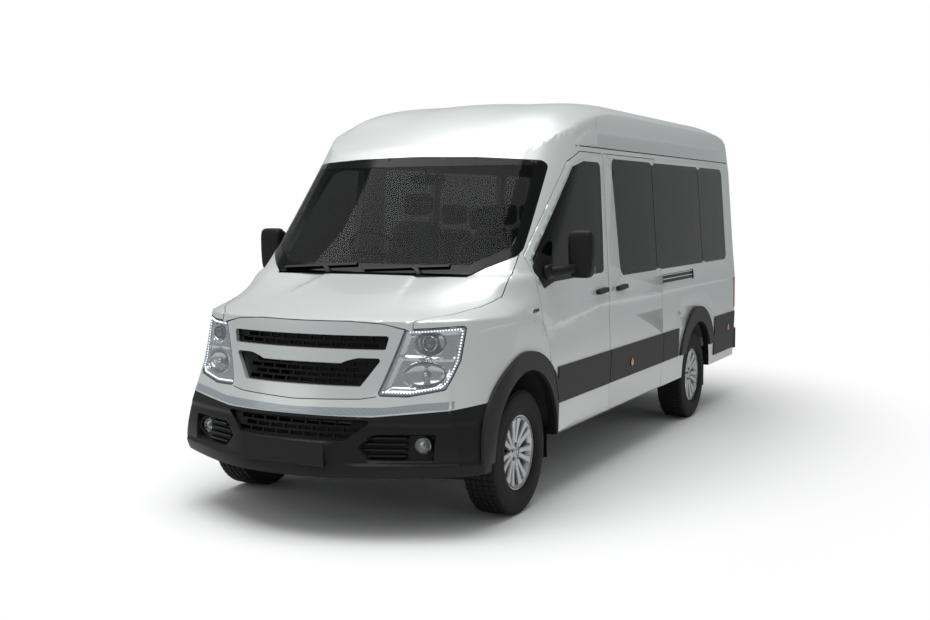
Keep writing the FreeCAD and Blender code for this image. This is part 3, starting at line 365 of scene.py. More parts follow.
def linePanels(bm, rearDoor):
    for face in bm.faces:
        centre = face.calc_center_median()
        if rearDoor:
            face.material_index = 1 if face.normal.y < -0.5 else 0
            continue
        above = max(0.0, centre.z - lining["crownFrom"]) * lining["crownPull"]
        outward = Vector((centre.x, 0, above)).normalized()
        face.material_index = 1 if face.normal.dot(outward) < -0.35 else 0
        for station in (0, rearAxle):
            toAxle = at(centre.x * 1000, station, lining["axleHeight"]) - centre
            if toAxle.length < lining["wheelReach"] and face.normal.dot(toAxle.normalized()) > 0.5:
                face.material_index = 2


# Roof: the crown is flatter than one arc, so the shoulders stand fuller
roof = {"shoulder": (250, 720, 720, 905), "lift": 34.0, "frontFade": (820, 1150), "heights": (2200, 2330),
        "cuts": (250, 400, 520, 620, 680, 720, 760, 800, 840, 880, 905)}


def liftShoulders(bm):
    for x in roof["cuts"]:
        for side in (-1, 1):
            cut(bm, at(side * x, 0, 0), (1, 0, 0))
    for vert in bm.verts:
        x, y, z = inMm(vert.co)
        share = plateau(abs(x), *roof["shoulder"]) * ramp(y, *roof["frontFade"]) * ramp(z, *roof["heights"])
        vert.co.z += roof["lift"] * share / 1000


painted = {"wings": ["wing"], "front_door_left": ["belt", "wing"], "front_door_right": ["belt", "wing"],
           "sliding_door": ["belt"], "body_side_left": ["belt", "rear"], "body_side_right": ["belt", "rear"],
           "front_panel": [], "rear_frame": [], "rear_door_left": [], "rear_door_right": [], "roof_panel": []}
for node, lines in painted.items():
    bm = mergedMesh(node)
    if node == "roof_panel":
        liftShoulders(bm)
    pressSides(bm, lines)
    linePanels(bm, node.startswith("rear_door"))
    standIn(node.replace("_", "-") + "-skin", node, bm, ("pearlPaint", "greyTrimPanel", "sealRubber"))
print("stage: painted sides pressed")

# Bonnet: two long soft ridges that fade out towards the nose
bonnet = {"rearX": 300.0, "frontX": 430.0, "rearStation": -60.0, "frontStation": -640.0, "middle": -300.0,
          "depth": 7.0, "profile": (0, 26, 60, 260), "cuts": (0, 26, 90, 160, 260), "fade": (-560, -150),
          "crossPitch": 60}
bonnetSkew = (bonnet["frontX"] - bonnet["rearX"]) / (bonnet["frontStation"] - bonnet["rearStation"])


def ridgeX(y):
    return bonnet["rearX"] + bonnetSkew * (y - bonnet["rearStation"])


bm = mergedMesh("bonnet")
across = Vector((1, -bonnetSkew, 0)).normalized()
for side in (-1, 1):
    for step in bonnet["cuts"]:
        x = side * (ridgeX(bonnet["middle"]) + step)
        cut(bm, at(x, bonnet["middle"], 0), (across.x, side * across.y, 0))
for station in range(int(bonnet["frontStation"]), int(bonnet["rearStation"]), bonnet["crossPitch"]):
    cut(bm, at(0, station, 0), (0, 1, 0))
for vert in bm.verts:
    x, y, z = inMm(vert.co)
    share = plateau(abs(x) - ridgeX(y), *bonnet["profile"]) * ramp(y, *bonnet["fade"])
    vert.co.z -= bonnet["depth"] * share / 1000
for face in bm.faces:
    face.material_index = 1 if face.normal.z < -0.4 and face.normal.y > 0.1 else 0
standIn("bonnet-skin", "bonnet", bm, ("pearlPaint", "satinAbs"), 22)

# Front bumper: a sunk pocket round each fog lamp, and a soft step below its top edge
bumper = {"pocket": [(405, 508), (470, 432), (795, 430), (805, 583), (490, 578)], "pocketDepth": 46.0,
          "pocketEdge": 20.0, "shelf": (-646, -612, -428, -408), "shelfDepth": 16.0, "shelfSides": (300, 470),
          "faceStation": -280.0, "faceFade": (290, 420),
          "shelfCuts": (404, 412, 420, 428, 612, 624, 635, 646), "shelfCutsX": range(300, 500, 34),
          "pocketCuts": range(437, 612, 9), "pocketCutsX": range(385, 840, 13),
          "pocketBox": (370, 850, 395, 620, -300)}


def pocketDepth(x, z):
    # mm that the bumper's skin is sunk at a point of its front view
    x = abs(x)
    pocket = ramp(depthInside(bumper["pocket"], x, z), 0, bumper["pocketEdge"])
    shelf = plateau(-z, *bumper["shelf"]) * ramp(x, *bumper["shelfSides"])
    return bumper["pocketDepth"] * pocket + bumper["shelfDepth"] * shelf


def onFace(x, y, z):
    return y < bumper["faceStation"]


def nearPocket(x, y, z):
    x0, x1, z0, z1, station = bumper["pocketBox"]
    return x0 < abs(x) < x1 and z0 < z < z1 and y < station


bm = mergedMesh("front_bumper")
gridCut(bm, "z", bumper["shelfCuts"], onFace)
gridCut(bm, "x", mirroredPlaces(bumper["shelfCutsX"]), onFace)
gridCut(bm, "z", bumper["pocketCuts"], nearPocket)
gridCut(bm, "x", mirroredPlaces(bumper["pocketCutsX"]), nearPocket)
for vert in bm.verts:
    x, y, z = inMm(vert.co)
    vert.co.y += pocketDepth(x, z) * ramp(-y, *bumper["faceFade"]) / 1000
standIn("front-bumper-moulding", "front_bumper", bm, ("grainedPolypropylene",), 26)

# The other mouldings keep their CAD shape, welded so that their curves read smooth
mouldings = {
    "silverPlasticPaint": ["grille_frame"], "glossBlackAbs": ["grille_mesh"],
    "grainedPolypropylene": ["rear_bumper"],
    "claddingPolypropylene": ["door_trim_left", "door_trim_right", "body_trim"],
    "satinAbs": ["wiper_cowl", "rear_door_trim"], "redLens": ["tail_lamps"], "greyTrimPanel": ["door_pillars"],
    "darkDashSkin": ["dashboard", "steering_wheel", "floor_pan", "bulkhead"],
    "turnedSteel": ["knuckle_left", "knuckle_right"], "rawCasting": ["engine_block", "driveline", "exhaust"],
    "chassisPaint": ["front_suspension", "rear_axle", "leaf_springs", "chassis_frame", "fuel_tank",
                     "front_carrier", "seat_frames"],
    "sealRubber": ["mud_flaps", "wheel_liners"],
}
for finishName, names in mouldings.items():
    for node in names:
        standIn(node.replace("_", "-") + "-moulding", node, mergedMesh(node), (finishName,), 32)
print("stage: mouldings dressed")

# Glass: a black fired border round a convex daylight outline, whose corners run anticlockwise, in mm
glass = {
    "windscreen": ([(-640, 1452), (640, 1452), (838, 1560), (797, 2055), (-797, 2055), (-838, 1560)], 46),
    "door": ([(450, 1362), (1326, 1378), (1376, 2064), (1112, 2064), (930, 2024), (440, 1560)], 30),
    "rearRight": ([(-718, 1362), (-140, 1362), (-140, 1978), (-700, 1978)], 40),
    "rearLeft": ([(140, 1362), (718, 1362), (700, 1978), (140, 1978)], 40),
    "sideFront": ([(1728, 1342), (2542, 1342), (2542, 2092), (1676, 2092)], 52),
    "sideMiddle": ([(2578, 1342), (3830, 1342), (3830, 2092), (2578, 2092)], 18),
    "sideRear": ([(3868, 1342), (4578, 1342), (4578, 2092), (3868, 2092)], 52),
    "margin": 60.0,
}


def roundedOutline(corners, radius, steps=5):
    points = []
    for i, corner in enumerate(corners):
        here = Vector(corner)
        before = (Vector(corners[i - 1]) - here).normalized()
        after = (Vector(corners[(i + 1) % len(corners)]) - here).normalized()
        reach = radius / math.tan(before.angle(after) / 2)
        for step in range(steps + 1):
            t = step / steps
            start, end = here + before * reach, here + after * reach
            point = start * (1 - t) ** 2 + here * 2 * t * (1 - t) + end * t * t
            points.append((point.x, point.y))
    return points


def glazed(name, node, panes, along, glassFinish):
    # along is 0 for a pane seen from the front or rear, 1 for one seen from the side
    bm = mergedMesh(node)
    outlines = [roundedOutline(*glass[pane]) for pane in panes]
    for outline in outlines:
        low = min(point[0] for point in outline) - glass["margin"]
        high = max(point[0] for point in outline) + glass["margin"]
        for (u0, v0), (u1, v1) in edgesOf(outline):
            faces = []
            for face in bm.faces:
                places = [inMm(vert.co)[along] for vert in face.verts]
                if max(places) > low and min(places) < high:
                    faces.append(face)
            if along:
                cut(bm, at(0, u0, v0), (0, v0 - v1, u1 - u0), faces)
            else:
                cut(bm, at(u0, 0, v0), (v0 - v1, 0, u1 - u0), faces)
    for face in bm.faces:
        spot = inMm(face.calc_center_median())
        clear = any(depthInside(outline, spot[along], spot[2]) >= 0 for outline in outlines)
        face.material_index = 0 if clear else 1
    standIn(name, node, bm, (glassFinish, "ceramicFrit"))


glazed("windscreen-glass", "windscreen", ["windscreen"], 0, "laminatedGlass")
for side in ("left", "right"):
    glazed("door-glass-" + side, "door_glass_" + side, ["door"], 1, "tintedGlass")
    glazed("rear-glass-" + side, "rear_glass_" + side, ["rear" + side.capitalize()], 0, "tintedGlass")
glazed("side-glass-panes", "side_glass", ["sideFront", "sideMiddle", "sideRear"], 1, "tintedGlass")
print("stage: glass made")


# Outer skin as one target, so that trim can be laid on it
def targetOf(meshes):
    points, faces = [], []
    for mesh in meshes:
        start = len(points)
        points += [v.co.copy() for v in mesh.vertices]
        faces += [[start + i for i in p.vertices] for p in mesh.polygons]
    return BVHTree.FromPolygons(points, faces)


skinNames = ["grille-frame-moulding", "bonnet-skin", "windscreen-glass", "front-bumper-moulding",
             "rear-bumper-moulding", "door-trim-left-moulding", "door-trim-right-moulding",
             "body-trim-moulding", "door-glass-left", "door-glass-right", "side-glass-panes"]
skinNames += [node.replace("_", "-") + "-skin" for node in painted]
skin = targetOf(bpy.data.objects[name].data for name in skinNames)
views = {"front": (1, 1), "left": (0, -1), "right": (0, 1)}  # the axis looked along, and which way


def onSkin(view, u, z, target=skin):
    axis, sense = views[view]
    origin = at(u, 0, z) if axis else at(0, u, z)
    direction = Vector()
    origin[axis], direction[axis] = -6.0 * sense, sense
    hit = target.ray_cast(origin, direction)[0]
    if hit is None:
        raise ValueError("nothing of the skin at %s %.0f %.0f" % (view, u, z))
    return hit, direction


def alongLine(path, share):
    lengths = [math.dist(a, b) for a, b in zip(path, path[1:])]
    left = share * sum(lengths)
    for (a, b), length in zip(zip(path, path[1:]), lengths):
        if left <= length + 1e-9:
            t = left / length if length else 0
            return [p + (q - p) * t for p, q in zip(a, b)]
        left -= length
    return list(path[-1])


def plate(bm, rows, cols, place, finishIndex=0):
    # Closed plate; place gives its front and back point at shares u across and v up
    grid = [[place(c / (cols - 1), r / (rows - 1)) for c in range(cols)] for r in range(rows)]
    layers = [[[bm.verts.new(pair[k]) for pair in row] for row in grid] for k in (0, 1)]
    for r in range(rows - 1):
        for c in range(cols - 1):
            for layer in layers:
                quad = [layer[r][c], layer[r][c + 1], layer[r + 1][c + 1], layer[r + 1][c]]
                bm.faces.new(quad).material_index = finishIndex
    rim = [(r, 0) for r in range(rows)] + [(rows - 1, c) for c in range(1, cols)]
    rim += [(r, cols - 1) for r in range(rows - 2, -1, -1)] + [(0, c) for c in range(cols - 2, 0, -1)]
    for (r0, c0), (r1, c1) in edgesOf(rim):
        quad = [layers[0][r0][c0], layers[0][r1][c1], layers[1][r1][c1], layers[1][r0][c0]]
        bm.faces.new(quad).material_index = finishIndex


def skinPatch(bm, view, bottom, top, proud, rows=4, cols=40, sunk=1.5, crown=0.0, finishIndex=0):
    # Plate laid on the skin between two lines of its side or front view
    def place(u, v):
        a, b = alongLine(bottom, u), alongLine(top, u)
        hit, direction = onSkin(view, a[0] + (b[0] - a[0]) * v, a[1] + (b[1] - a[1]) * v)
        bulge = crown * 4 * v * (1 - v)
        return hit - direction * (proud + bulge) / 1000, hit + direction * sunk / 1000
    plate(bm, rows, cols, place, finishIndex)


def bandFaces(bm, rings, finishIndex, closed=False):
    # Faces between closed rings of points, and caps on the ends of an open stack
    for a, b in edgesOf(rings) if closed else zip(rings, rings[1:]):
        for k in range(len(a)):
            m = (k + 1) % len(a)
            bm.faces.new([a[k], a[m], b[m], b[k]]).material_index = finishIndex
    if not closed:
        for ring in (rings[0], rings[-1]):
            bm.faces.new(ring).material_index = finishIndex


def circle(bm, centre, side, up, radius, segments):
    turns = [math.tau * k / segments for k in range(segments)]
    return [bm.verts.new(centre + (side * math.cos(t) + up * math.sin(t)) * radius / 1000) for t in turns]


def lathe(bm, profile, axis, centre, segments=32, closed=True, finishIndex=0):
    # Profile of (distance along the axis, radius) in mm round a local axis; closed profiles make rings
    axis = Vector(axis).normalized()
    side = axis.cross(Vector((0, 0, 1))).normalized()
    up = side.cross(axis).normalized()
    rings = [circle(bm, centre + axis * along / 1000, side, up, radius, segments) for along, radius in profile]
    bandFaces(bm, rings, finishIndex, closed)


def tube(bm, points, radius, segments=8):
    rings = []
    for i, point in enumerate(points):
        ahead = (points[min(i + 1, len(points) - 1)] - points[max(i - 1, 0)]).normalized()
        side = ahead.cross(Vector((0, 0, 1)))
        if side.length < 0.05:
            side = ahead.cross(Vector((1, 0, 0)))
        side.normalize()
        rings.append(circle(bm, point, side, side.cross(ahead), radius, segments))
    bandFaces(bm, rings, 0)


def bent(value, exponent):
    return math.copysign(abs(value) ** exponent, value)


def pillow(bm, centre, half, power, segments, shape=lambda point: point):
    # Rounded block: a superellipsoid with its poles on Z
    rings = []
    for r in range(1, segments[1]):
        tilt = math.pi * r / segments[1] - math.pi / 2
        flat = bent(math.cos(tilt), power[1])
        ring = []
        for s in range(segments[0]):
            turn = math.tau * s / segments[0]
            p = Vector((half[0] * flat * bent(math.cos(turn), power[0]),
                        half[1] * flat * bent(math.sin(turn), power[0]),
                        half[2] * bent(math.sin(tilt), power[1])))
            ring.append(bm.verts.new(centre + shape(p) / 1000))
        rings.append(ring)
    ends = [bm.verts.new(centre + shape(Vector((0, 0, sign * half[2]))) / 1000) for sign in (-1, 1)]
    for a, b in zip(rings, rings[1:]):
        for s in range(segments[0]):
            t = (s + 1) % segments[0]
            bm.faces.new([a[s], a[t], b[t], b[s]])
    for s in range(segments[0]):
        t = (s + 1) % segments[0]
        bm.faces.new([ends[0], rings[0][t], rings[0][s]])
        bm.faces.new([ends[1], rings[-1][s], rings[-1][t]])


# Geometry Nodes: copies turned round the X axis, and beads along a line
def openTree(name, inputs):
    tree = bpy.data.node_groups.new(name, "GeometryNodeTree")
    for label, kind in [("Geometry", "Geometry"), *inputs, ("Finish", "Material")]:
        tree.interface.new_socket(label, in_out="INPUT", socket_type="NodeSocket" + kind)
    tree.interface.new_socket("Geometry", in_out="OUTPUT", socket_type="NodeSocketGeometry")
    return tree, addNode(tree, "NodeGroupInput").outputs


def closeTree(tree, source, points, copied, turned=None):
    links = {"Points": points.outputs[0], "Instance": copied}
    if turned:
        links["Rotation"] = turned.outputs[0]
    copies = addNode(tree, "GeometryNodeInstanceOnPoints", {}, links)
    real = addNode(tree, "GeometryNodeRealizeInstances", {}, {"Geometry": copies.outputs[0]})
    painted = addNode(tree, "GeometryNodeSetMaterial", {},
                      {"Geometry": real.outputs[0], "Material": source["Finish"]})
    addNode(tree, "NodeGroupOutput", {}, {"Geometry": painted.outputs[0]})
    return tree


def makeTurnTree():
    tree, source = openTree("copiesRoundHub", [("Copies", "Int")])
    points = addNode(tree, "GeometryNodeMeshLine", {"Offset": (0, 0, 0)}, {"Count": source["Copies"]})
    index = addNode(tree, "GeometryNodeInputIndex")
    share = addNode(tree, "ShaderNodeMath", {"operation": "DIVIDE"}, {0: index.outputs[0], 1: source["Copies"]})
    turn = addNode(tree, "ShaderNodeMath", {"operation": "MULTIPLY", 1: math.tau}, {0: share.outputs[0]})
    rotation = addNode(tree, "ShaderNodeCombineXYZ", {}, {"X": turn.outputs[0]})
    return closeTree(tree, source, points, source["Geometry"], rotation)


def makeBeadTree():
    tree, source = openTree("beadsAlongLine", [("Pitch", "Float"), ("Bead Radius", "Float")])
    curve = addNode(tree, "GeometryNodeMeshToCurve", {}, {"Mesh": source["Geometry"]})
    spaced = addNode(tree, "GeometryNodeResampleCurve", {"mode": "LENGTH"},
                     {"Curve": curve.outputs[0], "Length": source["Pitch"]})
    bead = addNode(tree, "GeometryNodeMeshUVSphere", {"Segments": 10, "Rings": 6},
                   {"Radius": source["Bead Radius"]})
    return closeTree(tree, source, spaced, bead.outputs[0])


def grown(bm, tree, inputs, finishName, recalc=True):
    # Runs a node tree on a small mesh and gives the plain result
    seed = linked("seed", meshFrom(bm, (), recalc))
    modifier = seed.modifiers.new("grow", "NODES")
    modifier.node_group = tree
    for item in tree.interface.items_tree:
        if item.in_out == "INPUT" and item.name in {**inputs, "Finish": None}:
            modifier[item.identifier] = inputs.get(item.name, finish[finishName])
    graph = bpy.context.evaluated_depsgraph_get()
    result = bpy.data.meshes.new_from_object(seed.evaluated_get(graph))
    bpy.data.objects.remove(seed)
    result.materials.clear()
    result.materials.append(finish[finishName])
    result.polygons.foreach_set("material_index", [0] * len(result.polygons))
    return result


turnTree, beadTree = makeTurnTree(), makeBeadTree()

# Wheels, built at the origin with the spin axis along X and the face towards +X; profiles are (x, radius)
wheel = {
    "pairs": 7, "hubSpread": 10.5, "rimSpread": 10.2, "nuts": 5, "nutCircle": 47.0, "treadBlocks": 66,
    "ribs": (-76, -38, 0, 38, 76), "ribWidth": 29.0, "blockShare": 0.84, "blockSkew": 4.0, "blockRoot": 3.0,
    "shoulderDrop": 1.6, "tread": 364.6, "groove": 357.5, "halfTrack": 879.0, "axleHeight": 365.0,
    "rim": [(89, 218), (86, 221), (81, 220), (77, 210), (64, 203), (40, 199), (-58, 199), (-78, 205),
            (-84, 216), (-89, 219), (-89, 211), (-76, 198), (-60, 190), (38, 190), (58, 195), (73, 203),
            (81, 211), (89, 212)],
    "hub": [(50, 0.5), (50, 66), (66, 66), (68, 60), (69, 38), (73, 36), (77, 33), (80, 26), (81, 12),
            (81.5, 0.5)],
    "nut": [(62, 9.5), (75, 9.5), (78, 6), (78, 0.5)],
    "cap": [(80.8, 21), (81.6, 21), (81.9, 19), (81.9, 17), (80.8, 17)],
    "tyreHalf": [(88, 220.5), (97, 224), (101, 233), (104, 236), (106, 243), (110, 250), (112, 268),
                 (111.5, 286), (109.5, 288), (109.5, 292), (110.5, 294), (107, 320), (103.5, 338), (101, 349), (96, 355),
                 (88, 357.5)],
    # spoke stations: radius, width, face and depth
    "spoke": [(44, 34, 66, 20), (70, 30, 69, 22), (110, 30, 72, 23), (150, 33, 76, 23), (180, 40, 80, 22),
              (199, 50, 82, 20)],
    "spokeEdge": [(0.5, -6), (0.42, -1.5), (0.25, 0)],
}


def spokeMesh(bm, spread):
    first, last = wheel["spoke"][0][0], wheel["spoke"][-1][0]
    edge = wheel["spokeEdge"]
    rings = []
    for radius, width, face, depth in wheel["spoke"]:
        t = (radius - first) / (last - first)
        turn = math.radians(spread * (wheel["hubSpread"] + (wheel["rimSpread"] - wheel["hubSpread"]) * t))
        out = Vector((0, math.sin(turn), math.cos(turn)))
        across = Vector((0, math.cos(turn), -math.sin(turn)))
        section = [(-0.5, -depth), *[(-u, v) for u, v in edge], *reversed(edge), (0.5, -depth)]
        rings.append([bm.verts.new((out * radius + across * width * u + Vector((face + v, 0, 0))) / 1000)
                      for u, v in section])
    bandFaces(bm, rings, 0)


def treadBlock(bm, rib):
    length = math.tau * wheel["tread"] / wheel["treadBlocks"] * wheel["blockShare"]
    skew = math.copysign(wheel["blockSkew"], rib - 0.5)
    drop = wheel["shoulderDrop"] if abs(rib) == max(wheel["ribs"]) else 0.0
    corners = []
    for radius in (wheel["groove"] - wheel["blockRoot"], wheel["tread"] - drop):
        for u, v in ((-1, -1), (1, -1), (1, 1), (-1, 1)):
            turn = (v * length / 2 + u * skew) / radius
            spot = Vector((rib + u * wheel["ribWidth"] / 2, math.sin(turn) * radius, math.cos(turn) * radius))
            corners.append(bm.verts.new(spot / 1000))
    for quad in ((3, 2, 1, 0), (4, 5, 6, 7), (0, 1, 5, 4), (1, 2, 6, 5), (2, 3, 7, 6), (3, 0, 4, 7)):
        bm.faces.new([corners[i] for i in quad])


def turned(profile, finishName, segments):
    bm = bmesh.new()
    lathe(bm, profile, (1, 0, 0), Vector(), segments)
    return meshFrom(bm, [finishName])


def wheelPiece(name, meshes, corner, node, slotName):
    bm = bmesh.new()
    used = []
    for mesh in meshes:
        start = len(bm.faces)
        bm.from_mesh(mesh)
        bm.faces.ensure_lookup_table()
        finishName = mesh.materials[0].name
        if finishName not in used:
            used.append(finishName)
        for face in bm.faces[start:]:
            face.material_index = used.index(finishName)
    mesh = meshFrom(bm, used, recalc=False)
    front, left = corner.startswith("front"), corner.endswith("left")
    if not left:
        mesh.transform(Matrix.Diagonal((-1, 1, 1, 1)))
        mesh.flip_normals()
    x = wheel["halfTrack"] if left else -wheel["halfTrack"]
    mesh.transform(Matrix.Translation(at(x, 0 if front else rearAxle, wheel["axleHeight"])))
    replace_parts(addMesh(name, mesh, "wheel_" + corner, slotName, 35), node)


bm = bmesh.new()
lathe(bm, wheel["rim"], (1, 0, 0), Vector(), 72)
lathe(bm, wheel["hub"], (1, 0, 0), Vector(), 40, closed=False)
barrelMesh = meshFrom(bm, ["silverCastAlloy"])
bm = bmesh.new()
for spread in (-1, 1):
    spokeMesh(bm, spread)
spokesMesh = grown(bm, turnTree, {"Copies": wheel["pairs"]}, "silverCastAlloy")
bm = bmesh.new()
lathe(bm, wheel["nut"], (1, 0, 0), Vector((0, 0, wheel["nutCircle"] / 1000)), 6, closed=False)
nutsMesh = grown(bm, turnTree, {"Copies": wheel["nuts"]}, "turnedSteel")
bm = bmesh.new()
for rib in wheel["ribs"]:
    treadBlock(bm, rib)
treadMesh = grown(bm, turnTree, {"Copies": wheel["treadBlocks"]}, "tyreRubber")
capMesh = turned(wheel["cap"], "satinAbs", 32)
carcassMesh = turned(wheel["tyreHalf"] + [(-x, r) for x, r in reversed(wheel["tyreHalf"])], "tyreRubber", 96)
rimMeshes = [barrelMesh, spokesMesh, nutsMesh, capMesh]
for corner in ("front_left", "front_right", "rear_left", "rear_right"):
    tag = corner.replace("_", "-")
    wheelPiece("alloy-rim-" + tag, rimMeshes, corner, "rim_" + corner, "alloy")
    wheelPiece("road-tyre-" + tag, [carcassMesh, treadMesh], corner, "tyre_" + corner, "tyre_rubber")
print("stage: wheels made")

# Lamps: reflectors, projector, light strip and cover; outlines are front views of the left lamp, and the
# upper and lower bowls are given by centre and half sizes. Profiles are (y from the place, radius)
lamp = {
    "top": [(600, 1134), (872, 1147)], "bottom": [(478, 778), (640, 775), (822, 812)],
    "inner": [(478, 778), (600, 1134)], "outer": [(822, 812), (862, 960), (872, 1147)], "middle": (700, 960),
    "rows": 62, "cols": 56, "reach": ((0.02, 0.98), (0.02, 0.97)), "wall": 2.5,
    "edgeDepth": 9.0, "edge": (0.05, 0.13), "base": 34.0,
    "bowls": ((712, 1056, 72, 66, 40.0), (696, 886, 104, 68, 46.0)), "lip": 7.0, "lipMiddle": 1.06,
    "lipHalf": 0.06,
    "rib": 12.0, "ribHeight": 976.0, "ribWidth": 9.0, "ribSlope": 0.05, "searchSteps": 16, "searchStep": 0.02,
    "projectorDepth": 0.060, "lowerLensDepth": 0.066,
    "bezel": [(-16, 31), (-30, 37), (-33, 40), (-30, 43), (-8, 43), (4, 38)],
    "projector": [(6, 31), (-18, 31), (-27, 27), (-33, 19), (-36, 9), (-36.5, 0.5)],
    "lowerLens": [(8, 16), (-20, 16), (-28, 13), (-32, 7), (-33, 0.5)],
    # the light strip runs along the top, outer and lower edges, in shares of the lamp's width and height
    "strip": [(0.10, 0.955), (0.93, 0.955), (0.955, 0.9), (0.955, 0.12), (0.9, 0.052), (0.06, 0.052)],
    "stripSteps": 90, "stripDepth": 0.008, "ledPitch": 0.0165, "ledRadius": 0.0048,
    "fog": (725, 513), "fogTop": 0.62,
    "fogBowl": [(4, 43), (2, 39), (14, 33), (24, 22), (28, 8), (30, 8), (27, 24), (17, 35), (8, 43)],
    "fogLens": [(26, 13), (14, 13), (9, 9), (7, 0.5)],
    "fogRing": [(6, 47), (-16, 47), (-19, 49), (-19, 54), (-14, 57), (6, 57)], "fogRingStep": 60,
    "slats": (462, 493, 524, 555), "slatHalf": 5, "slatOuter": 655, "slatInner": 436, "slatLean": 0.7,
    "slatMiddle": 508, "slatProud": 30,
}
sides = ((1, "left"), (-1, "right"))
yAxis = Vector((0, 1, 0))
lampTarget = targetOf([nodes["front_lamps"].data])


def lampPoint(u, v):
    # Point of the lamp's outline patch at shares u across and v up
    bottom, top = alongLine(lamp["bottom"], u), alongLine(lamp["top"], u)
    inner, outer = alongLine(lamp["inner"], v), alongLine(lamp["outer"], v)
    c00, c10, c01, c11 = lamp["bottom"][0], lamp["bottom"][-1], lamp["top"][0], lamp["top"][-1]
    point = []
    for k in (0, 1):
        bilinear = (1 - u) * (1 - v) * c00[k] + u * (1 - v) * c10[k] + (1 - u) * v * c01[k] + u * v * c11[k]
        point.append((1 - v) * bottom[k] + v * top[k] + (1 - u) * inner[k] + u * outer[k] - bilinear)
    return point


def lampSkin(side, x, z):
    # Front face of the cover over a point; its corners are rounded, so the search moves inwards
    middleX, middleZ = lamp["middle"]
    for step in range(lamp["searchSteps"]):
        share = 1 - lamp["searchStep"] * step
        origin = at(side * (middleX + (x - middleX) * share), 0, middleZ + (z - middleZ) * share)
        origin.y = -6
        hit = lampTarget.ray_cast(origin, Vector((0, 1, 0)))[0]
        if hit is not None:
            return Vector((side * x / 1000, hit.y, z / 1000))
    raise ValueError("no lamp cover at %.0f %.0f" % (x, z))


def lampDepth(x, z, edge):
    # mm behind the cover: two bowls with lips, and a rib between them
    depth = lamp["base"]
    for cx, cz, rx, rz, deep in lamp["bowls"]:
        e = math.hypot((x - cx) / rx, (z - cz) / rz)
        if e < 1:
            depth += deep * math.sqrt(1 - e * e)
        elif e < lamp["lipMiddle"] + lamp["lipHalf"]:
            depth -= lamp["lip"] * (1 - abs(e - lamp["lipMiddle"]) / lamp["lipHalf"])
    fromRib = z - lamp["ribHeight"] + (x - lamp["middle"][0]) * lamp["ribSlope"]
    depth -= lamp["rib"] * math.exp(-(fromRib / lamp["ribWidth"]) ** 2)
    return lamp["edgeDepth"] + (depth - lamp["edgeDepth"]) * ramp(edge, *lamp["edge"])


def reflectorAt(side, u, v):
    (u0, u1), (v0, v1) = lamp["reach"]
    u, v = u0 + (u1 - u0) * u, v0 + (v1 - v0) * v
    x, z = lampPoint(u, v)
    front = lampSkin(side, x, z) + yAxis * lampDepth(x, z, min(u, 1 - u, v, 1 - v)) / 1000
    return front, front + yAxis * lamp["wall"] / 1000


fogSunk = yAxis * pocketDepth(*lamp["fog"]) / 1000
for side, tag in sides:
    bm = bmesh.new()
    plate(bm, lamp["rows"], lamp["cols"], lambda u, v: reflectorAt(side, u, v))
    middle = lampSkin(side, *lamp["bowls"][0][:2]) + yAxis * lamp["projectorDepth"]
    lathe(bm, lamp["bezel"], yAxis, middle, 32)
    lathe(bm, lamp["projector"], yAxis, middle, 28, closed=False, finishIndex=1)
    middle = lampSkin(side, *lamp["bowls"][1][:2]) + yAxis * lamp["lowerLensDepth"]
    lathe(bm, lamp["lowerLens"], yAxis, middle, 20, closed=False)
    addPiece("headlamp-inner-" + tag, bm, ("chromedReflector", "smokedLens"), "lamp")
    bm = bmesh.new()
    line = []
    for step in range(lamp["stripSteps"]):
        spot = lampPoint(*alongLine(lamp["strip"], step / (lamp["stripSteps"] - 1)))
        line.append(bm.verts.new(lampSkin(side, *spot) + yAxis * lamp["stripDepth"]))
    for a, b in zip(line, line[1:]):
        bm.edges.new((a, b))
    beads = grown(bm, beadTree, {"Pitch": lamp["ledPitch"], "Bead Radius": lamp["ledRadius"]}, "ledLens", False)
    addMesh("headlamp-light-strip-" + tag, beads, "body", "lamp", 60)
    # fog lamp bowl and lens behind its cover
    middle = onSkin("front", side * lamp["fog"][0], lamp["fog"][1], lampTarget)[0] + fogSunk
    bm = bmesh.new()
    lathe(bm, lamp["fogBowl"], yAxis, middle, 32)
    lathe(bm, lamp["fogLens"], yAxis, middle, 20, closed=False, finishIndex=1)
    addPiece("fog-lamp-bowl-" + tag, bm, ("chromedReflector", "smokedLens"), "lamp")

bm = mergedMesh("front_lamps")
for vert in bm.verts:
    if vert.co.z < lamp["fogTop"]:
        vert.co += fogSunk
for face in bm.faces:
    face.material_index = 0 if face.normal.y < -0.02 else 1
standIn("lamp-covers", "front_lamps", bm, ("clearPolycarbonate", "chromedReflector"))
for side, tag in sides:
    bm = bmesh.new()
    for z in lamp["slats"]:
        reach = lamp["slatInner"] + abs(z - lamp["slatMiddle"]) * lamp["slatLean"]
        low, high = sorted((side * reach, side * lamp["slatOuter"]))
        below, above = z - lamp["slatHalf"], z + lamp["slatHalf"]
        skinPatch(bm, "front", [(low, below), (high, below)], [(low, above), (high, above)], lamp["slatProud"],
                  rows=4, cols=16)
    x, z = lamp["fog"]
    y = onSkin("front", side * (x + lamp["fogRingStep"]), z)[0].y
    lathe(bm, lamp["fogRing"], yAxis, Vector((side * x / 1000, y, z / 1000)), 36)
    addPiece("fog-lamp-surround-" + tag, bm, ("satinAbs",), "black_plastic")
print("stage: lamps made")

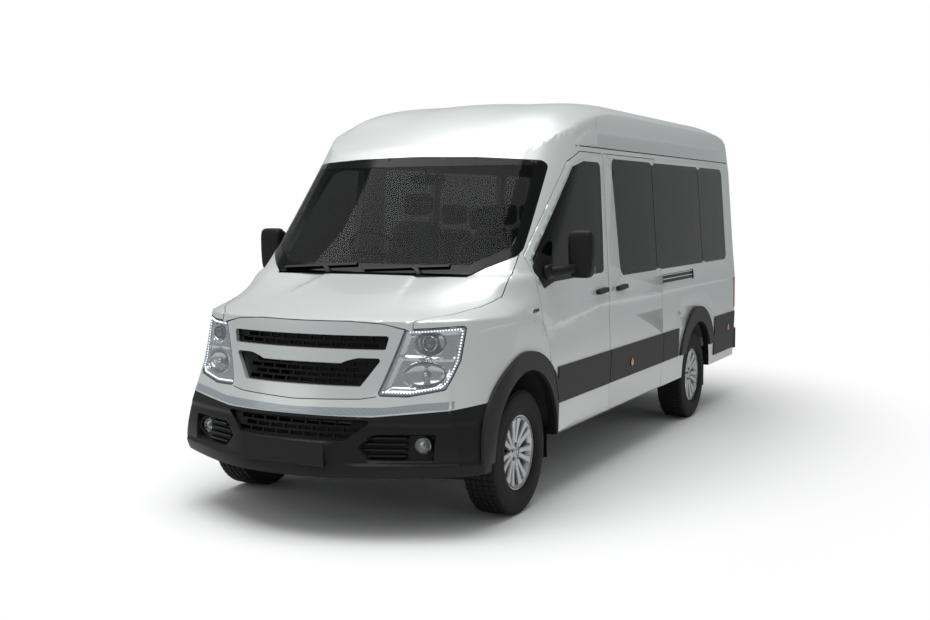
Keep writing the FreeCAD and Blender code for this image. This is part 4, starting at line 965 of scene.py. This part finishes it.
# Grille bar, seam, reflective tape, side lamps, repeaters, window dividers, door rail trim and the roof seam
trim = {
    # bar between the grille's openings: height, half width and rise of each row
    "bar": ((984, 392, 1), (972, 336, 1), (960, 290, 1), (948, 262, 1), (944, 258, -4)), "barWall": 14.0,
    "barFrom": (1010, 990),
    "seam": [(-478, 772), (-400, 758), (0, 744), (400, 758), (478, 772)], "seamWidth": 4,
    "tapeBottom": [(-872, 712), (-707, 701), (-475, 676), (0, 668), (475, 676), (707, 701), (872, 712)],
    "tapeTop": [(-868, 752), (-705, 740), (-535, 718), (0, 707), (535, 718), (705, 740), (868, 752)],
    "markers": (1877, 4624), "markerHeight": 680.0, "markerRing": [(1, 31), (-4, 31), (-5, 29), (1, 29)],
    "markerLens": [(1, 28.5), (-4, 28.5), (-7, 22), (-8.5, 11), (-9, 0.5)],
    "repeater": ([(120, 1172), (186, 1176)], [(124, 1194), (190, 1198)]),
    "repeaterLens": ([(134, 1177), (176, 1180)], [(136, 1190), (178, 1193)]),
    "dividers": ((2536, 2584), (3824, 3874)), "dividerHeights": (1322, 2106),
    "roofSeam": (1010, 4920, 2187, 2194),
    "rail": (2640, 3470, 1196, 1268), "railLips": (1199, 1231, 1262), "railEnd": (3450, 3478, 1192, 1272),
}


def boxPatch(bm, view, first, last, low, high, proud, **more):
    skinPatch(bm, view, [(first, low), (last, low)], [(first, high), (last, high)], proud, **more)


def barAt(u, v):
    # The bar goes on down at the slope of the grille frame above it
    z, half, proud = trim["bar"][round(v * (len(trim["bar"]) - 1))]
    x = half * (2 * u - 1)
    upper, lower = trim["barFrom"]
    high, low = (onSkin("front", x, height)[0] for height in (upper, lower))
    face = Vector((x / 1000, low.y + (low.y - high.y) / (upper - lower) * (lower - z), z / 1000))
    return face - yAxis * proud / 1000, face + yAxis * trim["barWall"] / 1000


bm = bmesh.new()
plate(bm, len(trim["bar"]), 25, barAt)
addPiece("grille-bar-middle", bm, ("silverPlasticPaint",), slotOfNode["grille_frame"])
bm = bmesh.new()
seamTop = [(x, z + trim["seamWidth"]) for x, z in trim["seam"]]
skinPatch(bm, "front", trim["seam"], seamTop, 0.6, rows=2, cols=60)
addPiece("grille-seam", bm, ("sealRubber",), "rubber")
bm = bmesh.new()
skinPatch(bm, "front", trim["tapeBottom"], trim["tapeTop"], 1.2, rows=4, cols=90)
addPiece("reflective-tape", bm, ("prismTape",), "lamp")
for side, view in sides:
    bm = bmesh.new()
    for station in trim["markers"]:
        hit, direction = onSkin(view, station, trim["markerHeight"])
        lathe(bm, trim["markerRing"], direction, hit, 24, finishIndex=1)
        lathe(bm, trim["markerLens"], direction, hit, 24, closed=False)
    addPiece("side-marker-lamps-" + view, bm, ("amberLens", "satinAbs"), "lamp")
    bm = bmesh.new()
    skinPatch(bm, view, *trim["repeater"], 4, rows=6, cols=12, crown=3)
    skinPatch(bm, view, *trim["repeaterLens"], 5.5, rows=5, cols=8, crown=3, finishIndex=1)
    addPiece("wing-repeater-" + view, bm, ("smokedLens", "satinAbs"), "lamp")
    bm = bmesh.new()
    for first, last in trim["dividers"]:
        boxPatch(bm, view, first, last, *trim["dividerHeights"], 1.6, rows=12, cols=6, sunk=0.5)
    addPiece("window-dividers-" + view, bm, ("ceramicFrit",), "black_plastic")
    bm = bmesh.new()
    boxPatch(bm, view, *trim["roofSeam"], 0.8, rows=2, cols=60)
    addPiece("roof-seam-" + view, bm, ("sealRubber",), "rubber")
bm = bmesh.new()
boxPatch(bm, "left", *trim["rail"], 2.0, rows=3, cols=24)
for z in trim["railLips"]:
    boxPatch(bm, "left", trim["rail"][0], trim["rail"][1] - 8, z - 4, z + 4, 6.0, rows=3, cols=24, crown=1.5,
             finishIndex=1)
boxPatch(bm, "left", *trim["railEnd"], 7.0, rows=6, cols=5, crown=2)
addPiece("sliding-door-rail-trim", bm, ("satinAbs", "polishedTrim"), "black_plastic")
print("stage: trim laid on")

# Door mirrors on their arms, with the black corner patch of the window
mirror = {"centre": (1146, 552, 1506), "half": (81, 52, 146),
          "foot": (1004, 372, 1404), "footHalf": (22, 62, 44),
          "arm": [(1000, 372, 1404), (1030, 392, 1406), (1070, 440, 1410), (1105, 500, 1418),
                  (1130, 545, 1428)], "armRadius": 30, "taper": 0.10, "rearShare": 0.86,
          "patch": ([(238, 1392), (300, 1306), (462, 1338)], [(240, 1436), (330, 1522), (462, 1490)]),
          "panes": ((1452, 1632), (1376, 1442)), "paneX": (1074, 1212, 1216, 1070), "paneCorner": 22,
          "paneStations": (594, 598.5)}


def mirrorShape(p):
    # flatter towards the rear, a little narrower at the foot
    taper = 1 - mirror["taper"] * ramp(-p.z, -40, mirror["half"][2])
    return Vector((p.x * taper, p.y if p.y < 0 else p.y * mirror["rearShare"], p.z))


for side, view in sides:
    door = "front_door_" + view
    x, y, z = mirror["centre"]
    bm = bmesh.new()
    pillow(bm, at(side * x, y, z), mirror["half"], (0.42, 0.36), (36, 28), mirrorShape)
    tube(bm, [at(side * x, y, z) for x, y, z in mirror["arm"]], mirror["armRadius"], 14)
    x, y, z = mirror["foot"]
    pillow(bm, at(side * x, y, z), mirror["footHalf"], (0.6, 0.6), (20, 12))
    skinPatch(bm, view, *mirror["patch"], 2.0, rows=8, cols=20)
    case = addPiece("door-mirror-" + view, bm, ("grainedPolypropylene",), "black_plastic", body=door)
    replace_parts(case, "door_mirror_" + view)
    bm = bmesh.new()
    for low, high in mirror["panes"]:
        corners = [(side * x, z) for x, z in zip(mirror["paneX"], (low, low, high, high))]
        points = roundedOutline(corners if side > 0 else corners[::-1], mirror["paneCorner"])
        bandFaces(bm, [[bm.verts.new(at(x, y, z)) for x, z in points] for y in mirror["paneStations"]], 0)
    addPiece("mirror-glass-" + view, bm, ("mirrorSilver",), "black_plastic", 20, door)
print("stage: mirrors made")

# Seats: cushions and backs puffed out as cloth once, then set at every place
seating = {"low": 1020.0, "voxel": 0.014, "pressure": 4.0, "lastFrame": 20, "cap": 0.014, "fill": 0.6,
           "front": [(-400, 660, 480, 700), (130, 660, 430, 600), (585, 660, 430, 600)],  # x, y, width, height
           "rowStart": 1750, "rowPitch": 780, "rowPlaces": ((-665, -225), (-665, -225, 665), (-665, -225, 665),
                                                            (-665, -225, 225, 665)),
           "width": 430, "tall": 620, "cushion": (235, 56), "back": (575, 50), "head": (632, 92),  # back, up
           "lean": 110.0, "taper": 0.12, "inset": 14, "cushionHalf": (221, 46), "cushionRise": 15,
           "cushionNose": 14, "bolster": 16, "backHalf": 34, "headHalf": (118, 30, 80), "headLean": 0.1,
           "piping": 3.4, "pipingInset": 20, "pipingSteps": 48}


def backLean(tall):
    return seating["lean"] / (tall - seating["back"][1])


def backTaper(z, tall):
    return 1 - seating["taper"] * ramp(z, tall * 0.1, tall * 0.46)


def sideBolster(x, z, wide, tall):
    return ramp(abs(x), wide * 0.26, wide * 0.44) * ramp(tall * 0.32 - z, 0, 90)


def cushionSide(x, wide):
    return ramp(abs(x), wide * 0.24, wide * 0.42)


def cushionSeed(wide):
    def bolstered(p):
        lift = seating["cushionRise"] * cushionSide(p.x, wide) - seating["cushionNose"] * ramp(-p.y, 120, 235)
        return Vector((p.x, p.y, p.z + (lift if p.z > 0 else 0)))
    bm = bmesh.new()
    half = (wide / 2 - seating["inset"], *seating["cushionHalf"])
    pillow(bm, Vector(), half, (0.3, 0.42), (40, 20), bolstered)
    return bm


def backSeed(wide, tall):
    def leaned(p):
        y = p.y - (seating["bolster"] * sideBolster(p.x, p.z, wide, tall) if p.y < 0 else 0)
        return Vector((p.x * backTaper(p.z, tall), y + p.z * backLean(tall), p.z))
    bm = bmesh.new()
    half = (wide / 2 - seating["inset"], seating["backHalf"], tall / 2 - 42)
    pillow(bm, Vector(), half, (0.36, 0.3), (40, 28), leaned)
    return bm


def headSeed():
    bm = bmesh.new()
    pillow(bm, Vector(), seating["headHalf"], (0.45, 0.4), (32, 18),
           lambda p: Vector((p.x, p.y + p.z * seating["headLean"], p.z)))
    return bm


def puffed(bm):
    # Cloth under pressure, with every point kept near where it started
    pad = linked("padSeed", meshFrom(bm, ()))
    remesh = pad.modifiers.new("even", "REMESH")
    remesh.mode = "VOXEL"
    remesh.voxel_size = seating["voxel"]
    graph = bpy.context.evaluated_depsgraph_get()
    pad.data = bpy.data.meshes.new_from_object(pad.evaluated_get(graph))
    pad.modifiers.clear()
    start = [v.co.copy() for v in pad.data.vertices]
    cloth = pad.modifiers.new("puff", "CLOTH")
    cloth.settings.use_pressure = True
    cloth.settings.uniform_pressure_force = seating["pressure"]
    cloth.settings.effector_weights.gravity = 0
    cloth.settings.quality = 4
    cloth.settings.tension_stiffness = 12
    cloth.point_cache.frame_start = 1
    cloth.point_cache.frame_end = seating["lastFrame"]
    for step in range(1, seating["lastFrame"] + 1):
        bpy.context.scene.frame_set(step)
    graph = bpy.context.evaluated_depsgraph_get()
    swollen = [v.co.copy() for v in pad.evaluated_get(graph).data.vertices]
    pad.modifiers.clear()
    for vert, home, far in zip(pad.data.vertices, start, swollen):
        shift = far - home
        if shift.length > seating["cap"]:
            shift *= seating["cap"] / shift.length
        vert.co = home + shift
    bpy.context.scene.frame_set(1)
    mesh = pad.data.copy()
    bpy.data.objects.remove(pad)
    return mesh


padShapes = {"head": puffed(headSeed())}
for wide, tall in ((480, 700), (430, 600), (430, 620)):
    if ("cushion", wide) not in padShapes:
        padShapes["cushion", wide] = puffed(cushionSeed(wide))
    padShapes["back", wide, tall] = puffed(backSeed(wide, tall))
print("stage: seat pads puffed")


def seatPiece(name, places, node):
    bm = bmesh.new()
    low = seating["low"]
    for x, station, wide, tall in places:
        cushion, back, head = seating["cushion"], seating["back"], seating["head"]
        for mesh, place in (
                (padShapes["cushion", wide], at(x, station + cushion[0], low + cushion[1])),
                (padShapes["back", wide, tall], at(x, station + back[0], low + (tall + back[1]) / 2)),
                (padShapes["head"], at(x, station + head[0], low + tall + head[1]))):
            part = mesh.copy()
            part.transform(Matrix.Translation(place))
            bm.from_mesh(part)
            bpy.data.meshes.remove(part)
    mesh = meshFrom(bm, ["wovenSeatCloth"], recalc=False)
    obj = addMesh(name, mesh, bodyOfNode[node], slotOfNode[node], 180)
    return obj


def pipingPiece(name, places, node):
    # blue cord round the front of each back and each cushion
    bm = bmesh.new()
    steps = seating["pipingSteps"]
    turns = [(math.cos(math.tau * step / steps), math.sin(math.tau * step / steps)) for step in range(steps)]
    for x, station, wide, tall in places:
        low, half = seating["low"], wide / 2 - seating["pipingInset"]
        backLine, cushionLine = [], []
        for c, s in turns:
            pz = bent(s, 0.36) * (tall / 2 - 56)
            px = bent(c, 0.36) * half * backTaper(pz, tall)
            py = pz * backLean(tall) - 26 - 20 * sideBolster(px, pz, wide, tall)
            away, up = seating["back"]
            backLine.append(at(x + px, station + away + py, low + (tall + up) / 2 + pz))
            px, py = bent(c, 0.3) * half, bent(s, 0.3) * 224
            pz = 78 + 12 * cushionSide(px, wide) - 10 * ramp(-py, 120, 225)
            cushionLine.append(at(x + px, station + seating["cushion"][0] + py, low + pz))
        for line in (backLine, cushionLine):
            tube(bm, line + line[:2], seating["piping"], 6)
    addMesh(name, meshFrom(bm, ["bluePiping"], recalc=False), bodyOfNode[node], slotOfNode[node], 60)


pads = seatPiece("front-seat-pads", seating["front"], "front_seats")
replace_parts(pads, "front_seats")
pipingPiece("front-seat-piping", seating["front"], "front_seats")
for index, xs in enumerate(seating["rowPlaces"]):
    station = seating["rowStart"] + index * seating["rowPitch"]
    places = [(x, station, seating["width"], seating["tall"]) for x in xs]
    pads = seatPiece("seat-row-%d-pads" % (index + 1), places, "passenger_seats")
    if index == 0:
        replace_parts(pads, "passenger_seats")
    pipingPiece("seat-row-%d-piping" % (index + 1), places, "passenger_seats")
print("stage: seats made")

# Cab fittings: instrument hood, gear lever on its console, and the interior mirror
cab = {"hood": (-400, 420, 1392), "hoodHalf": (190, 120, 62), "console": (60, 560, 1290),
       "consoleHalf": (150, 70, 120), "lever": [(40, 590, 1330), (40, 640, 1400), (40, 652, 1440)],
       "knob": (40, 655, 1462), "knobHalf": (24, 24, 30), "mirror": (0, 700, 1975), "mirrorHalf": (128, 12, 34),
       "mirrorStem": [(0, 680, 2005), (0, 640, 2080), (0, 610, 2110)]}
bm = bmesh.new()
pillow(bm, at(*cab["hood"]), cab["hoodHalf"], (0.5, 0.7), (32, 18),
       lambda p: Vector((p.x, p.y, p.z if p.z > 0 else p.z * 0.35)))
pillow(bm, at(*cab["console"]), cab["consoleHalf"], (0.4, 0.5), (24, 14))
tube(bm, [at(*point) for point in cab["lever"]], 8, 10)
pillow(bm, at(*cab["knob"]), cab["knobHalf"], (0.8, 0.8), (16, 10))
addPiece("instrument-hood", bm, ("darkDashSkin",), slotOfNode["dashboard"], 50, bodyOfNode["dashboard"])
bm = bmesh.new()
tube(bm, [at(*point) for point in cab["mirrorStem"]], 6, 10)
pillow(bm, at(*cab["mirror"]), cab["mirrorHalf"], (0.35, 0.5), (28, 12))
addPiece("cab-mirror", bm, ("satinAbs",), "black_plastic")
print("stage: cab fitted")

# Studio: floor, lights and the camera at the photograph's angle
studio = {"worldStrength": 0.42, "worldTint": (0.97, 0.985, 1.0, 1), "floorTint": "#f2f2f2", "floorHalf": 80.0,
          "shadowReach": (1.0 / 3.4, 1.0 / 5.6), "shadowFade": (0.45, 1.0),  # beyond it the floor runs to white
          # place, target, size and power of each softbox
          "topSoftbox": ((-0.5, -2.2, 7.5), (0, -1.0, 1.2), (7.0, 8.0), 620.0),
          "frontSoftbox": ((-5.5, -8.5, 5.0), (0, -1.5, 1.2), (4.0, 4.0), 40.0),
          "camera": (3.7746, -8.3323, 1.7989), "yaw": 26.567, "pitch": 4.954, "roll": -0.186, "lens": 46.30}


def seenDirectly(tree):
    # 1 for rays that show the background itself, also through glass
    rays = addNode(tree, "ShaderNodeLightPath").outputs
    return addNode(tree, "ShaderNodeMath", {"operation": "MAXIMUM"},
                   {0: rays["Is Camera Ray"], 1: rays["Is Transmission Ray"]}).outputs[0]


half = studio["floorHalf"]
floorMesh = bpy.data.meshes.new("studioFloor")
corners = [(-half, -half, 0), (half, -half, 0), (half, half, 0), (-half, half, 0)]
floorMesh.from_pydata(corners, [], [(0, 1, 2, 3)])
floor = linked("studioFloor", floorMesh)
floor.location.z = -0.001
floorMaterial = bpy.data.materials.new("paleStudioFloor")
floorMaterial.use_nodes = True
tree = floorMaterial.node_tree
tree.nodes.clear()
output = addNode(tree, "ShaderNodeOutputMaterial")
diffuse = addNode(tree, "ShaderNodeBsdfDiffuse", {"Color": toLinear(studio["floorTint"])})
paper = addNode(tree, "ShaderNodeEmission", {"Color": (1, 1, 1, 1), "Strength": 1.0})
place = addNode(tree, "ShaderNodeTexCoord")
spread = addNode(tree, "ShaderNodeVectorMath", {"operation": "MULTIPLY", 1: (*studio["shadowReach"], 0)},
                 {0: place.outputs["Object"]})
away = addNode(tree, "ShaderNodeVectorMath", {"operation": "LENGTH"}, {0: spread.outputs[0]})
fadeStart, fadeEnd = studio["shadowFade"]
fade = addNode(tree, "ShaderNodeMapRange", {"interpolation_type": "SMOOTHSTEP", 1: fadeStart, 2: fadeEnd},
               {0: away.outputs["Value"]})
share = addNode(tree, "ShaderNodeMath", {"operation": "MULTIPLY"}, {0: seenDirectly(tree), 1: fade.outputs[0]})
blend = addNode(tree, "ShaderNodeMixShader", {},
                {0: share.outputs[0], 1: diffuse.outputs[0], 2: paper.outputs[0]})
tree.links.new(blend.outputs[0], output.inputs["Surface"])
floorMesh.materials.append(floorMaterial)
floor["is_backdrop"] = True

world = bpy.data.worlds.new("studioWorld")
bpy.context.scene.world = world
world.use_nodes = True
tree = world.node_tree
tree.nodes.clear()
output = addNode(tree, "ShaderNodeOutputWorld")
soft = addNode(tree, "ShaderNodeBackground",
               {"Color": studio["worldTint"], "Strength": studio["worldStrength"]})
white = addNode(tree, "ShaderNodeBackground", {"Color": (1, 1, 1, 1), "Strength": 1.0})
blend = addNode(tree, "ShaderNodeMixShader", {},
                {0: seenDirectly(tree), 1: soft.outputs[0], 2: white.outputs[0]})
tree.links.new(blend.outputs[0], output.inputs["Surface"])

for name in ("topSoftbox", "frontSoftbox"):
    spot, target, size, power = studio[name]
    light = bpy.data.lights.new(name, "AREA")
    light.shape = "RECTANGLE"
    light.size, light.size_y = size
    light.energy = power
    obj = linked(name, light)
    obj.location = spot
    obj.rotation_euler = (Vector(target) - Vector(spot)).to_track_quat("-Z", "Y").to_euler()

cameraData = bpy.data.cameras.new("studioCamera")
cameraData.sensor_width = 36.0
cameraData.lens = studio["lens"]
cameraData.clip_end = 300
camera = linked("studioCamera", cameraData)
turn = Matrix.Rotation(math.radians(studio["yaw"]), 4, "Z")
turn = turn @ Matrix.Rotation(math.radians(90 - studio["pitch"]), 4, "X")
turn = turn @ Matrix.Rotation(math.radians(studio["roll"]), 4, "Z")
camera.matrix_world = Matrix.Translation(studio["camera"]) @ turn
bpy.context.scene.camera = camera
bpy.context.scene.view_settings.view_transform = "Standard"
print("stage: studio set")

low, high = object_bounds()
{"cad": [list(cadLow), list(cadHigh)], "visual": [list(low), list(high)]}
